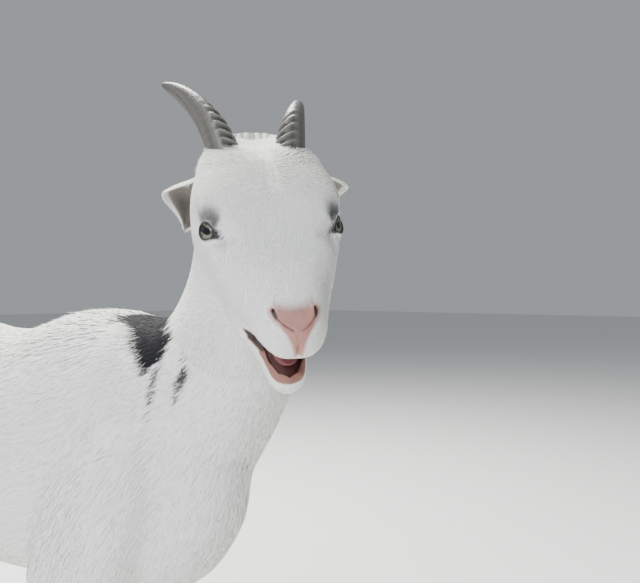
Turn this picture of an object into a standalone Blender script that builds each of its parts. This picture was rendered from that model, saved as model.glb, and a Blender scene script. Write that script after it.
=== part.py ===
"""A young dwarf goat, life size, standing square with its head up and turned to
its right, its mouth open as it chews.

It faces -Y, its left side is +X, and its soles stand on z = 0.  The origin is on the
floor under the middle of its box.  Each shape goes out to the tips of the coat.  The
flesh is modelled whole from lofts, whose rings are superellipses set on a smooth spine,
and is then parted with thin cuts.
"""
import math

import bmesh
import bpy
import numpy as np
from mathutils import Matrix, Vector

GAP = 0.0003                 # clear space left at every cut
SLEEVE = 0.009               # a leg's piece takes the flesh this far round its core
HOOF_TOP = 0.032             # height of the coronet, where leg hair ends

# Trunk: along y, (y, top, bottom, half width), from the breast to the buttocks.
TRUNK = [(-0.282, 0.424, 0.374, 0.018), (-0.270, 0.448, 0.332, 0.036),
         (-0.244, 0.476, 0.282, 0.054), (-0.206, 0.493, 0.248, 0.072),
         (-0.130, 0.502, 0.233, 0.089),
         (-0.045, 0.486, 0.228, 0.101), (0.055, 0.477, 0.222, 0.112),
         (0.140, 0.480, 0.236, 0.107), (0.215, 0.489, 0.268, 0.094),
         (0.275, 0.480, 0.306, 0.072), (0.308, 0.462, 0.338, 0.046),
         (0.320, 0.440, 0.372, 0.020)]

# Neck: spine point (x, y, z), half depth fore and aft, half width.
NECK = [(0.000, -0.150, 0.372, 0.112, 0.064), (0.004, -0.212, 0.408, 0.099, 0.063),
        (0.012, -0.268, 0.455, 0.070, 0.055), (0.020, -0.291, 0.512, 0.059, 0.046),
        (0.016, -0.304, 0.566, 0.053, 0.043), (0.004, -0.310, 0.600, 0.041, 0.037)]

# Legs, on the goat's left: (x, y, z), half depth fore and aft, half width.
FORE = [(0.030, -0.190, 0.440, 0.034, 0.014), (0.044, -0.190, 0.390, 0.056, 0.031),
        (0.058, -0.172, 0.305, 0.060, 0.036),
        (0.062, -0.140, 0.255, 0.044, 0.029), (0.062, -0.132, 0.205, 0.0265, 0.022),
        (0.060, -0.139, 0.155, 0.0210, 0.0205), (0.059, -0.135, 0.115, 0.0138, 0.0130),
        (0.058, -0.137, 0.066, 0.0170, 0.0168), (0.058, -0.146, 0.047, 0.0150, 0.0158),
        (0.058, -0.154, 0.024, 0.0190, 0.0185)]
HIND = [(0.028, 0.230, 0.455, 0.040, 0.016), (0.042, 0.232, 0.410, 0.068, 0.038),
        (0.060, 0.214, 0.345, 0.080, 0.044),
        (0.068, 0.198, 0.285, 0.062, 0.036), (0.066, 0.224, 0.235, 0.036, 0.025),
        (0.062, 0.270, 0.188, 0.0240, 0.0175), (0.060, 0.288, 0.160, 0.0215, 0.0165),
        (0.059, 0.284, 0.112, 0.0142, 0.0132), (0.058, 0.279, 0.066, 0.0172, 0.0168),
        (0.058, 0.270, 0.047, 0.0152, 0.0158), (0.058, 0.262, 0.024, 0.0190, 0.0185)]
TAIL = [(0.0, 0.280, 0.452, 0.018, 0.022), (0.0, 0.326, 0.453, 0.016, 0.022),
        (0.0, 0.352, 0.438, 0.014, 0.024), (0.0, 0.365, 0.412, 0.012, 0.023),
        (0.0, 0.370, 0.385, 0.009, 0.016), (0.0, 0.371, 0.366, 0.004, 0.005)]
TAIL_ROOT = 0.3235

# Head, in its own frame: s to the goat's left, f from the poll to the nose, u out of
# the forehead.  Rings: (f, top, widest, bottom, half width).
HEAD_AT = (0.0013, -0.3215, 0.620)
HEAD_YAW, HEAD_PITCH, HEAD_ROLL = math.radians(36), math.radians(38), math.radians(4)
SKULL = [(-0.034, -0.008, -0.034, -0.058, 0.018), (-0.020, 0.014, -0.032, -0.072, 0.036),
         (0.000, 0.026, -0.026, -0.080, 0.0455), (0.020, 0.029, -0.018, -0.084, 0.0525),
         (0.040, 0.027, -0.012, -0.085, 0.0575), (0.060, 0.019, -0.010, -0.084, 0.0585),
         (0.078, 0.008, -0.016, -0.080, 0.0540), (0.096, -0.001, -0.026, -0.075, 0.0465),
         (0.114, -0.007, -0.034, -0.069, 0.0400), (0.132, -0.011, -0.038, -0.062, 0.0330),
         (0.150, -0.015, -0.040, -0.057, 0.0275), (0.163, -0.020, -0.041, -0.055, 0.0240),
         (0.173, -0.027, -0.042, -0.053, 0.0190), (0.179, -0.035, -0.042, -0.050, 0.0110)]
JAW_OPEN = math.radians(11)
JAW_HINGE = (0.050, -0.060)
JAW_SHIFT = 0.0005           # the chewing jaw swings a little to the goat's left
JAW = [(0.030, -0.052, -0.088, 0.034), (0.060, -0.054, -0.090, 0.037),
       (0.090, -0.054, -0.086, 0.0340), (0.115, -0.053, -0.083, 0.0270),
       (0.135, -0.052, -0.083, 0.0205), (0.150, -0.052, -0.083, 0.0180),
       (0.160, -0.053, -0.081, 0.0155), (0.168, -0.057, -0.075, 0.0095)]
JAW_CUT = (0.028, -0.0605)            # back edge and top of the jaw's own piece
TONGUE = (0.0, 0.137, -0.0520)
TONGUE_HALVES = (0.0100, 0.0190, 0.0045)
THROAT = (0.0, -0.002, -0.052)        # where head and neck part, and which way
THROAT_WAY = (0.0, 0.80, 0.60)
CHIN_LEVEL = -0.096                   # nothing of the head lies under this u
EYE = (0.0400, 0.0745, -0.0130)
EYE_RADIUS = 0.0125
LIDS = (0.0500, 0.0790, -0.0070)      # middle of the opening between the lids
LID_OPENING = (0.0060, 0.0105, 0.0062)
HORN_ROOT = (0.0238, 0.008, 0.001)
HORN_RADIUS = 0.0195
HORN_FLATNESS = 0.74
HORN_RIDGES = 7
# From the root: (bend, tip), each (outward, forward, up), for the two horns.
HORN_SWEEP = {"left": ((0.005, -0.022, 0.046), (0.030, -0.090, 0.012)),
              "right": ((0.008, -0.034, 0.043), (0.044, -0.092, 0.033))}
EAR_ROOT = (0.045, 0.021, -0.0015)
EAR_REACH = (0.012, -0.043, -0.072)
EAR_HALF_WIDTH = 0.0216
EAR_WALL = 0.0040


def material(name, colour, roughness):
    """One plain finish: a colour and a roughness, no metal."""
    made = bpy.data.materials.new(name)
    made.use_nodes = True
    shader = made.node_tree.nodes["Principled BSDF"]
    shader.inputs["Base Color"].default_value = (*colour, 1.0)
    shader.inputs["Roughness"].default_value = roughness
    shader.inputs["Metallic"].default_value = 0.0
    return made


def add_object(name, mesh, finish=None):
    """Put a mesh in the scene under a name, with one finish."""
    made = bpy.data.objects.new(name, mesh)
    bpy.context.scene.collection.objects.link(made)
    if finish:
        mesh.materials.clear()
        mesh.materials.append(finish)
    return made


def smooth_table(table, count):
    """Read a table at count even steps of its length, on a Catmull-Rom curve."""
    rows = np.array(table, dtype=float)
    steps = np.linalg.norm(np.diff(rows[:, :3], axis=0), axis=1)
    knots = np.concatenate([[0.0], np.cumsum(steps)])
    slopes = np.gradient(rows, knots, axis=0)
    where = np.linspace(0.0, knots[-1], count)
    left = np.clip(np.searchsorted(knots, where, side="right") - 1, 0, len(knots) - 2)
    span = (knots[left + 1] - knots[left])[:, None]
    t = ((where - knots[left])[:, None]) / span
    return ((2 * t**3 - 3 * t**2 + 1) * rows[left] + (t**3 - 2 * t**2 + t) * span * slopes[left]
            + (3 * t**2 - 2 * t**3) * rows[left + 1] + (t**3 - t**2) * span * slopes[left + 1])


def signed_power(values, power):
    """Raise sizes to a power and keep their signs."""
    return np.sign(values) * np.abs(values) ** power


def tube(spine, side, up_size, down_size, side_size, sides=20, square=2.2):
    """Points of a closed loft, ring by ring, then one pole at each end.

    A ring is a superellipse: side * w * cos^(2/n) + up * h * sin^(2/n), where up is
    square to the spine and to side, and h differs above and below.
    """
    along = np.gradient(spine, axis=0)
    along /= np.linalg.norm(along, axis=1)[:, None]
    side = np.asarray(side, dtype=float)
    up = np.cross(side, along)
    up /= np.linalg.norm(up, axis=1)[:, None]
    angle = np.linspace(0.0, 2 * np.pi, sides, endpoint=False)
    across = signed_power(np.cos(angle), 2 / square)
    rise = signed_power(np.sin(angle), 2 / square)
    height = np.where(rise[None, :] > 0, np.asarray(up_size)[:, None],
                      np.asarray(down_size)[:, None]) * rise[None, :]
    rings = (spine[:, None, :]
             + side * (np.asarray(side_size)[:, None] * across[None, :])[:, :, None]
             + up[:, None, :] * height[:, :, None])
    return np.concatenate([rings.reshape(-1, 3), rings[0].mean(axis=0)[None],
                           rings[-1].mean(axis=0)[None]])


def tube_faces(rings, sides):
    """Quads round the rings and triangles to the two poles, all facing out."""
    i, j = np.meshgrid(np.arange(rings - 1), np.arange(sides), indexing="ij")
    i, j = i.ravel(), j.ravel()
    k = (j + 1) % sides
    quads = np.stack([i * sides + j, i * sides + k, (i + 1) * sides + k,
                      (i + 1) * sides + j], axis=1)
    j = np.arange(sides)
    k = (j + 1) % sides
    low, high, last = rings * sides, rings * sides + 1, (rings - 1) * sides
    caps = [(low, b, a) for a, b in zip(j, k)] + [(high, last + a, last + b) for a, b in zip(j, k)]
    return quads.tolist() + [tuple(int(v) for v in cap) for cap in caps]


def mesh_of(points, faces):
    """Make a mesh whose faces point outwards."""
    mesh = bpy.data.meshes.new("shape")
    mesh.from_pydata([tuple(p) for p in points], [], faces)
    shape = bmesh.new()
    shape.from_mesh(mesh)
    bmesh.ops.recalc_face_normals(shape, faces=shape.faces)
    if shape.calc_volume(signed=True) < 0:
        bmesh.ops.reverse_faces(shape, faces=shape.faces)
    shape.to_mesh(mesh)
    shape.free()
    return mesh


def limb(table, count=26, sides=18, grow=0.0, mirror=1):
    """A leg, neck or tail: a tube in the goat's own frame, from a table of rings."""
    rows = smooth_table([(mirror * r[0], *r[1:]) for r in table], count)
    points = tube(rows[:, :3], (1, 0, 0), rows[:, 3] + grow, rows[:, 3] + grow,
                  rows[:, 4] + grow, sides)
    return points, tube_faces(count, sides)


def trunk_shape(count=30, sides=28):
    """The barrel: rings across y, flatter at the sides than an ellipse."""
    rows = smooth_table(TRUNK, count)
    zero = np.zeros(count)
    spine = np.stack([zero, rows[:, 0], (rows[:, 1] + rows[:, 2]) / 2], axis=1)
    half = (rows[:, 1] - rows[:, 2]) / 2
    return tube(spine, (1, 0, 0), half, half, rows[:, 3], sides), tube_faces(count, sides)


def head_frame():
    """The matrix from the head's own s, f, u to the goat's frame; it mirrors."""
    ahead = Vector((-math.sin(HEAD_YAW), -math.cos(HEAD_YAW), 0.0))
    left = Vector((math.cos(HEAD_YAW), -math.sin(HEAD_YAW), 0.0))
    roll = Matrix.Rotation(HEAD_ROLL, 3, ahead)
    left = roll @ left
    upright = roll @ Vector((0.0, 0.0, 1.0))
    forward = ahead * math.cos(HEAD_PITCH) - upright * math.sin(HEAD_PITCH)
    out = ahead * math.sin(HEAD_PITCH) + upright * math.cos(HEAD_PITCH)
    turn = Matrix((left, forward, out)).transposed().to_4x4()
    return Matrix.Translation(HEAD_AT) @ turn


def to_goat(points):
    """Carry points from the head's frame to the goat's."""
    place = np.array(head_frame())
    return points @ place[:3, :3].T + place[:3, 3]


def skull_shape(count=34, sides=26):
    """The head above the mouth: rings across f, widest at their own level."""
    rows = smooth_table(SKULL, count)
    zero = np.zeros(count)
    spine = np.stack([zero, rows[:, 0], rows[:, 2]], axis=1)
    points = tube(spine, (1, 0, 0), rows[:, 1] - rows[:, 2], rows[:, 2] - rows[:, 3],
                  rows[:, 4], sides, 2.8)
    return points, tube_faces(count, sides)


def jaw_turn(points):
    """Drop the jaw about its hinge, and swing it sideways in proportion."""
    f, u = points[:, 1] - JAW_HINGE[0], points[:, 2] - JAW_HINGE[1]
    c, s = math.cos(JAW_OPEN), math.sin(JAW_OPEN)
    reach = np.clip(f / 0.11, 0.0, 1.2)
    return np.stack([points[:, 0] + JAW_SHIFT * reach, JAW_HINGE[0] + f * c + u * s,
                     JAW_HINGE[1] - f * s + u * c], axis=1)


def jaw_shape(count=22, sides=20):
    """The lower jaw and chin, open."""
    rows = smooth_table(JAW, count)
    half = (rows[:, 1] - rows[:, 2]) / 2
    spine = np.stack([np.zeros(count), rows[:, 0], (rows[:, 1] + rows[:, 2]) / 2], axis=1)
    points = tube(spine, (1, 0, 0), half, half, rows[:, 3], sides, 2.1)
    return jaw_turn(points), tube_faces(count, sides)


def blob(centre, sizes, rings=9, sides=10):
    """An ellipsoid given as a tube whose rings follow a half circle."""
    turn = np.linspace(0.04, math.pi - 0.04, rings)
    spine = np.stack([np.full(rings, centre[0]), centre[1] - sizes[1] * np.cos(turn),
                      np.full(rings, centre[2])], axis=1)
    points = tube(spine, (1, 0, 0), sizes[2] * np.sin(turn), sizes[2] * np.sin(turn),
                  sizes[0] * np.sin(turn), sides, 2.0)
    return points, tube_faces(rings, sides)


def ball(way, centre, sizes):
    """An ellipsoid set in the head, on the left for way 1 and the right for -1."""
    points, faces = blob((way * centre[0], centre[1], centre[2]), sizes)
    return mesh_of(to_goat(points), faces)


def join(shapes):
    """Many closed shells in one mesh, still overlapping."""
    points, faces, start = [], [], 0
    for shape_points, shape_faces in shapes:
        points.append(shape_points)
        faces += [[start + v for v in face] for face in shape_faces]
        start += len(shape_points)
    return mesh_of(np.concatenate(points), faces)


def evaluated(source):
    """The mesh that an object's modifiers make; the object itself is removed."""
    bpy.context.view_layer.update()
    graph = bpy.context.evaluated_depsgraph_get()
    mesh = bpy.data.meshes.new_from_object(source.evaluated_get(graph))
    bpy.data.objects.remove(source)
    return mesh


def fuse(mesh, voxel, relax, faces):
    """Merge shells into one skin, soften its creases and thin its triangles."""
    work = add_object("work", mesh)
    remesh = work.modifiers.new("fuse", "REMESH")
    remesh.mode = "VOXEL"
    remesh.voxel_size = voxel
    soften = work.modifiers.new("soften", "SMOOTH")
    soften.iterations = relax
    soften.factor = 0.5
    made = evaluated(work)
    work = add_object("work", made)
    thin = work.modifiers.new("thin", "DECIMATE")
    thin.ratio = min(1.0, faces / (2.0 * len(made.polygons)))
    return evaluated(work)


def boolean(mesh, cutter, operation):
    """Cut one closed mesh by another, or keep what they share."""
    body = add_object("work", mesh.copy())
    knife = add_object("knife", cutter.copy())
    step = body.modifiers.new("cut", "BOOLEAN")
    step.operation = operation
    step.object = knife
    step.solver = "EXACT"
    made = evaluated(body)
    bpy.data.objects.remove(knife)
    return made


def slab(point, normal, offset):
    """A great block that holds all that lies past a plane, moved by offset."""
    normal = Vector(normal).normalized()
    size = 2.0
    shape = bmesh.new()
    bmesh.ops.create_cube(shape, size=size)
    turn = Vector((0, 0, 1)).rotation_difference(normal).to_matrix().to_4x4()
    place = Matrix.Translation(Vector(point) + normal * (size / 2 + offset)) @ turn
    bmesh.ops.transform(shape, matrix=place, verts=shape.verts)
    mesh = bpy.data.meshes.new("slab")
    shape.to_mesh(mesh)
    shape.free()
    return mesh


def head_block(offset):
    """The wedge that holds the head: ahead of the throat's plane, above the chin's."""
    turn = head_frame().to_3x3()
    ahead = slab(head_frame() @ Vector(THROAT), turn @ Vector(THROAT_WAY), offset)
    chin = head_frame() @ Vector((0.0, THROAT[1], CHIN_LEVEL))
    return boolean(ahead, slab(chin, turn @ Vector((0.0, 0.0, 1.0)), offset), "INTERSECT")


def jaw_block(margin):
    """A block in the head's frame that holds the lower jaw from its angle forward."""
    size = 0.3
    shape = bmesh.new()
    bmesh.ops.create_cube(shape, size=size)
    shift = Vector((0.0, JAW_CUT[0] - margin + size / 2, JAW_CUT[1] + margin - size / 2))
    bmesh.ops.transform(shape, matrix=head_frame() @ Matrix.Translation(shift), verts=shape.verts)
    bmesh.ops.recalc_face_normals(shape, faces=shape.faces)
    mesh = bpy.data.meshes.new("jaw_block")
    shape.to_mesh(mesh)
    shape.free()
    return mesh


def part_by_plane(mesh, point, normal):
    """Two bodies, past the plane and short of it, a gap apart."""
    past = boolean(mesh, slab(point, normal, GAP / 2), "INTERSECT")
    short = boolean(mesh, slab(point, normal, -GAP / 2), "DIFFERENCE")
    return past, short


def grown(mesh, amount):
    """A copy whose points move out along their normals."""
    made = mesh.copy()
    for vertex, normal in zip(made.vertices, [v.normal.copy() for v in mesh.vertices]):
        vertex.co += normal * amount
    return made


def largest(mesh):
    """Keep the biggest closed body of a mesh and drop loose slivers."""
    shape = bmesh.new()
    shape.from_mesh(mesh)
    bmesh.ops.remove_doubles(shape, verts=shape.verts, dist=1e-6)
    bmesh.ops.dissolve_degenerate(shape, edges=shape.edges, dist=1e-6)
    left, groups = set(shape.verts), []
    while left:
        group, front = set(), [left.pop()]
        while front:
            vertex = front.pop()
            group.add(vertex)
            for edge in vertex.link_edges:
                other = edge.other_vert(vertex)
                if other in left:
                    left.discard(other)
                    front.append(other)
        groups.append(group)
    keep = max(groups, key=len)
    bmesh.ops.delete(shape, geom=[v for v in shape.verts if v not in keep], context="VERTS")
    bmesh.ops.triangulate(shape, faces=shape.faces)
    shape.to_mesh(mesh)
    shape.free()
    return mesh


def horn(side, rings=22, sides=9):
    """A ridged horn on a bent spine, from a root inside the skull to its tip."""
    way = 1 if side == "left" else -1
    root = np.array((way * HORN_ROOT[0], HORN_ROOT[1], HORN_ROOT[2]))
    bend, tip = [np.array((way * p[0], p[1], p[2])) for p in HORN_SWEEP[side]]
    t = np.linspace(0.0, 1.0, rings)[:, None]
    spine = root + 2 * t * (1 - t) * bend + t**2 * tip
    t = t[:, 0]
    ridge = 1 + 0.055 * np.sin(2 * np.pi * HORN_RIDGES * t) * (1 - t) * (t > 0.08)
    radius = HORN_RADIUS * (1 - 0.90 * t**2) * ridge
    points = tube(spine, (1, 0, 0), radius, radius, radius * HORN_FLATNESS, sides, 2.0)
    return mesh_of(to_goat(points), tube_faces(rings, sides))


def ear(side, rows=9, across=7):
    """A cupped leaf: its section is an arc that opens from the root to the tip.

    The arc's half angle falls from 2.0 to 1.3 rad, its width swells and narrows, and
    a wall of even thickness joins the outer face to the inner one.
    """
    way = 1 if side == "left" else -1
    root = np.array(EAR_ROOT)
    reach = np.array(EAR_REACH)
    along = reach / np.linalg.norm(reach)
    open_way = np.array((0.49, 0.57, 0.02))
    open_way -= along * (open_way @ along)
    open_way /= np.linalg.norm(open_way)
    wide = np.cross(along, open_way)
    t = np.linspace(0.0, 1.0, rows)[:, None]
    v = np.linspace(-1.0, 1.0, across)[None, :]
    half = EAR_HALF_WIDTH * (0.60 + 0.57 * np.sin(np.pi * t**0.85)) * np.sqrt(1 - 0.95 * t**3)
    half *= (0.55 + 0.45 * np.clip(t / 0.22, 0.0, 1.0)) * (1 - 0.62 * t)
    opening = 2.0 - 0.7 * t**0.7
    angle = opening * v
    radius = half / np.sin(np.minimum(opening, np.pi / 2))

    def face(way_out):
        size = radius + way_out * np.minimum(EAR_WALL / 2, 0.3 * radius)
        spine = root + (reach + along * way_out * EAR_WALL / 2) * t[..., None]
        depth = radius - size * np.cos(angle)
        return spine + wide * (size * np.sin(angle))[..., None] + open_way * depth[..., None]

    outer, inner = face(1), face(-1)
    points = np.concatenate([outer.reshape(-1, 3), inner.reshape(-1, 3)])
    points[:, 0] *= way
    count = rows * across
    faces = []
    for i in range(rows - 1):
        for j in range(across - 1):
            a, b = i * across + j, i * across + j + 1
            faces += [(a, b, b + across, a + across),
                      (count + a, count + a + across, count + b + across, count + b)]
    rim = ([j for j in range(across)] + [i * across + across - 1 for i in range(1, rows)]
           + [(rows - 1) * across + j for j in range(across - 2, -1, -1)]
           + [i * across for i in range(rows - 2, 0, -1)])
    for a, b in zip(rim, rim[1:] + rim[:1]):
        faces.append((a, count + a, count + b, b))
    return mesh_of(to_goat(points), faces)


def claw(x, y, inner_way):
    """One half of a cloven hoof: a wedge with a flat sole and a sloping toe."""
    length, width, height = 0.043, 0.0172, HOOF_TOP - GAP
    rows, sides = 4, 10
    t = np.linspace(0.0, 1.0, rows)
    angle = np.linspace(0.0, 2 * np.pi, sides, endpoint=False)
    points = []
    for step in t:
        stretch = 1.0 - 0.20 * step
        centre = y - 0.006 * (1 - step)
        ring_x = x + width / 2 * (1 - 0.08 * step) * signed_power(np.cos(angle), 0.8)
        ring_y = centre + length / 2 * stretch * signed_power(np.sin(angle), 0.75)
        toe = np.clip((centre - ring_y) / (length / 2), 0, 1)
        ring_x = ring_x + inner_way * 0.0035 * toe**2
        points.append(np.stack([ring_x, ring_y, np.full(sides, height * step)], axis=1))
    points = np.concatenate(points + [[[x, y - 0.006, 0.0]], [[x, y, height]]])
    return mesh_of(points, tube_faces(rows, sides))


def stand_at_origin():
    """Shift all nodes level, so that the middle of their box is over the origin."""
    meshes = [made.data for made in bpy.data.objects]
    points = np.array([v.co for mesh in meshes for v in mesh.vertices])
    middle = (points.min(axis=0) + points.max(axis=0)) / 2
    for mesh in meshes:
        mesh.transform(Matrix.Translation((-middle[0], -middle[1], 0.0)))


def build():
    """Make every node."""
    for old in list(bpy.data.objects):
        bpy.data.objects.remove(old)
    coat = material("white_coat", (0.86, 0.86, 0.83), 0.8)
    flesh = material("pink_flesh", (0.72, 0.36, 0.34), 0.45)
    grey_horn = material("grey_horn", (0.36, 0.35, 0.33), 0.45)
    hoof = material("hoof", (0.30, 0.27, 0.23), 0.5)
    eye = material("pale_eye", (0.55, 0.62, 0.60), 0.1)

    upper = [(to_goat(points), faces) for points, faces in (skull_shape(), jaw_shape())]
    parts = [trunk_shape(), limb(NECK), limb(TAIL, 16, 12)] + upper
    for mirror in (1, -1):
        parts += [limb(FORE, mirror=mirror), limb(HIND, mirror=mirror)]
    body = fuse(join(parts), 0.0065, 6, 3000)

    head_parts = [skull_shape(), jaw_shape()]
    for way in (1, -1):
        head_parts += [blob((way * 0.039, 0.066, -0.004), (0.017, 0.020, 0.013)),
                       blob((way * 0.026, 0.060, -0.050), (0.022, 0.040, 0.030)),
                       blob((way * 0.011, 0.156, -0.042), (0.0140, 0.020, 0.014)),
                       blob((way * 0.024, 0.100, -0.066), (0.013, 0.034, 0.016))]
    head_parts = [(to_goat(points), faces) for points, faces in head_parts]
    head_parts.append(limb(NECK))
    head = fuse(join(head_parts), 0.0032, 5, 2200)

    shoulder, shoulder_way = (0.0, -0.2085, 0.4375), (0.0, -0.784, 0.621)
    head = boolean(head, head_block(GAP / 2), "INTERSECT")
    body = boolean(body, head_block(-GAP / 2), "DIFFERENCE")
    neck, body = part_by_plane(body, shoulder, shoulder_way)
    add_object("neck", largest(neck), coat)
    jaw = boolean(head, jaw_block(0.0), "INTERSECT")
    head = boolean(head, jaw_block(GAP), "DIFFERENCE")
    points, faces = blob(TONGUE, TONGUE_HALVES)
    tongue = mesh_of(to_goat(jaw_turn(points)), faces)
    for solid in (jaw, head):
        tongue = boolean(tongue, grown(solid, GAP), "DIFFERENCE")
    add_object("jaw", largest(jaw), coat)
    add_object("tongue", largest(tongue), flesh)
    tail, body = part_by_plane(body, (0.0, TAIL_ROOT, 0.45), (0.0, 1.0, 0.0))
    add_object("tail", largest(tail), coat)
    skin = grown(head, GAP)
    for side in ("left", "right"):
        way = 1 if side == "left" else -1
        add_object("horn_" + side, largest(boolean(horn(side), skin, "DIFFERENCE")), grey_horn)
        add_object("ear_" + side, largest(boolean(ear(side), skin, "DIFFERENCE")), flesh)
        add_object("eye_" + side, ball(way, EYE, (EYE_RADIUS,) * 3), eye)
        head = boolean(head, ball(way, EYE, (EYE_RADIUS + GAP,) * 3), "DIFFERENCE")
        head = boolean(head, ball(way, LIDS, LID_OPENING), "DIFFERENCE")
        for pair, table, first in (("front", FORE, 2), ("hind", HIND, 1)):
            sleeve = mesh_of(*limb(table[first:], 12, 10, SLEEVE, way))
            leg = boolean(body, sleeve, "INTERSECT")
            leg = boolean(leg, slab((0, 0, HOOF_TOP), (0, 0, 1), 0), "INTERSECT")
            body = boolean(body, grown(sleeve, 2 * GAP), "DIFFERENCE")
            add_object("leg_%s_%s" % (pair, side), largest(leg), coat)
    add_object("trunk", largest(body), coat)
    add_object("head", largest(head), coat)
    for side in ("left", "right"):
        way = 1 if side == "left" else -1
        for pair, table in (("front", FORE), ("hind", HIND)):
            for part, inner in (("inner", -1), ("outer", 1)):
                x = way * (table[-1][0] + inner * 0.0093)
                add_object("hoof_%s_%s_%s" % (pair, side, part),
                           claw(x, table[-1][1] - 0.004, -inner * way), hoof)
    stand_at_origin()


build()
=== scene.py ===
"""A young dwarf goat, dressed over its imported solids: skin, coat, eyes, horns, hooves.

The goat's own frame, used for every table here, faces -Y with its left side at +X and
its soles on z = 0.  SHIFT carries it to the frame of the solids.
"""
import math

import bmesh
import bpy
import numpy as np
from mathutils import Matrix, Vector
from mathutils.bvhtree import BVHTree


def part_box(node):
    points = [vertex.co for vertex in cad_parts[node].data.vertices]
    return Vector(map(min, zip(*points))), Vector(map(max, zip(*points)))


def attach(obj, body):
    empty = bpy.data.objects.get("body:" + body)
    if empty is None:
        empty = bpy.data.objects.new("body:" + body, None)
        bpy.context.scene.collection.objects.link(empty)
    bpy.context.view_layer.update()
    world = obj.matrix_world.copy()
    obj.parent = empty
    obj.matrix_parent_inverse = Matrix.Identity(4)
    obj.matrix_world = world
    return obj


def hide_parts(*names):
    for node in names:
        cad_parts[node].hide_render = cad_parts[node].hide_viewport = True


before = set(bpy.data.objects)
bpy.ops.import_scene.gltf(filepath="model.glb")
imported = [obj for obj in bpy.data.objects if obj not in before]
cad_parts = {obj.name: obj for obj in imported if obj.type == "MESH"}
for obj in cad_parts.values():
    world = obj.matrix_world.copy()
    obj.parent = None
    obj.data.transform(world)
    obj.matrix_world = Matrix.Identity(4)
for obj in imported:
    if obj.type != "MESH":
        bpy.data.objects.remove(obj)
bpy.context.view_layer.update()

# ---------------------------------------------------------------- the skin
# One hide covers trunk, neck, head, jaw, tail and legs without a seam.  It is lofted
# round the same spines as the solids, drawn in by the depth of the coat, fused into
# one surface, and then worked finer towards the face.

# Trunk: (y, top, bottom, half width).
TRUNK = [(-0.282, 0.424, 0.374, 0.018), (-0.270, 0.448, 0.332, 0.036),
         (-0.244, 0.476, 0.282, 0.054), (-0.206, 0.493, 0.248, 0.072),
         (-0.130, 0.502, 0.233, 0.089),
         (-0.045, 0.486, 0.228, 0.101), (0.055, 0.477, 0.222, 0.112),
         (0.140, 0.480, 0.236, 0.107), (0.215, 0.489, 0.268, 0.094),
         (0.275, 0.480, 0.306, 0.072), (0.308, 0.462, 0.338, 0.046),
         (0.320, 0.440, 0.372, 0.020)]
# Neck, legs and tail: (x, y, z, half depth fore and aft, half width).
NECK = [(0.000, -0.150, 0.372, 0.112, 0.064), (0.004, -0.212, 0.408, 0.099, 0.063),
        (0.012, -0.268, 0.455, 0.070, 0.055), (0.020, -0.291, 0.512, 0.059, 0.046),
        (0.016, -0.304, 0.566, 0.053, 0.043), (0.004, -0.310, 0.600, 0.041, 0.037)]
FORE = [(0.030, -0.190, 0.440, 0.034, 0.014), (0.044, -0.190, 0.390, 0.056, 0.031),
        (0.058, -0.172, 0.305, 0.060, 0.036),
        (0.062, -0.140, 0.255, 0.044, 0.029), (0.062, -0.132, 0.205, 0.0265, 0.022),
        (0.060, -0.139, 0.155, 0.0210, 0.0205), (0.059, -0.135, 0.115, 0.0138, 0.0130),
        (0.058, -0.137, 0.066, 0.0170, 0.0168), (0.058, -0.146, 0.047, 0.0150, 0.0158),
        (0.058, -0.154, 0.024, 0.0190, 0.0185)]
HIND = [(0.028, 0.230, 0.455, 0.040, 0.016), (0.042, 0.232, 0.410, 0.068, 0.038),
        (0.060, 0.214, 0.345, 0.080, 0.044),
        (0.068, 0.198, 0.285, 0.062, 0.036), (0.066, 0.224, 0.235, 0.036, 0.025),
        (0.062, 0.270, 0.188, 0.0240, 0.0175), (0.060, 0.288, 0.160, 0.0215, 0.0165),
        (0.059, 0.284, 0.112, 0.0142, 0.0132), (0.058, 0.279, 0.066, 0.0172, 0.0168),
        (0.058, 0.270, 0.047, 0.0152, 0.0158), (0.058, 0.262, 0.024, 0.0190, 0.0185)]
TAIL = [(0.0, 0.280, 0.452, 0.018, 0.022), (0.0, 0.326, 0.453, 0.016, 0.022),
        (0.0, 0.352, 0.438, 0.014, 0.024), (0.0, 0.365, 0.412, 0.012, 0.023),
        (0.0, 0.370, 0.385, 0.009, 0.016), (0.0, 0.371, 0.366, 0.004, 0.005)]
# Head, in its own frame (s to its left, f from poll to nose, u out of the forehead):
# (f, top, widest level, bottom, half width), and the jaw (f, top, bottom, half width).
SKULL = [(-0.034, -0.008, -0.034, -0.058, 0.018), (-0.020, 0.014, -0.032, -0.072, 0.036),
         (0.000, 0.026, -0.026, -0.080, 0.0455), (0.020, 0.029, -0.018, -0.084, 0.0525),
         (0.040, 0.027, -0.012, -0.085, 0.0575), (0.060, 0.019, -0.010, -0.084, 0.0585),
         (0.078, 0.008, -0.016, -0.080, 0.0540), (0.096, -0.001, -0.026, -0.075, 0.0465),
         (0.114, -0.007, -0.034, -0.069, 0.0400), (0.132, -0.011, -0.038, -0.062, 0.0330),
         (0.150, -0.015, -0.040, -0.057, 0.0275), (0.163, -0.020, -0.041, -0.055, 0.0240),
         (0.173, -0.027, -0.042, -0.053, 0.0190), (0.179, -0.035, -0.042, -0.050, 0.0110)]
JAW = [(0.030, -0.052, -0.088, 0.034), (0.060, -0.054, -0.090, 0.037),
       (0.090, -0.054, -0.086, 0.0340), (0.115, -0.053, -0.083, 0.0270),
       (0.135, -0.052, -0.083, 0.0205), (0.150, -0.052, -0.083, 0.0180),
       (0.160, -0.053, -0.081, 0.0155), (0.168, -0.057, -0.075, 0.0095)]
JAW_OPEN, JAW_HINGE, JAW_SHIFT = math.radians(11), (0.050, -0.060), 0.0005
HEAD_AT = np.array((0.0013, -0.3215, 0.620))
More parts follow.
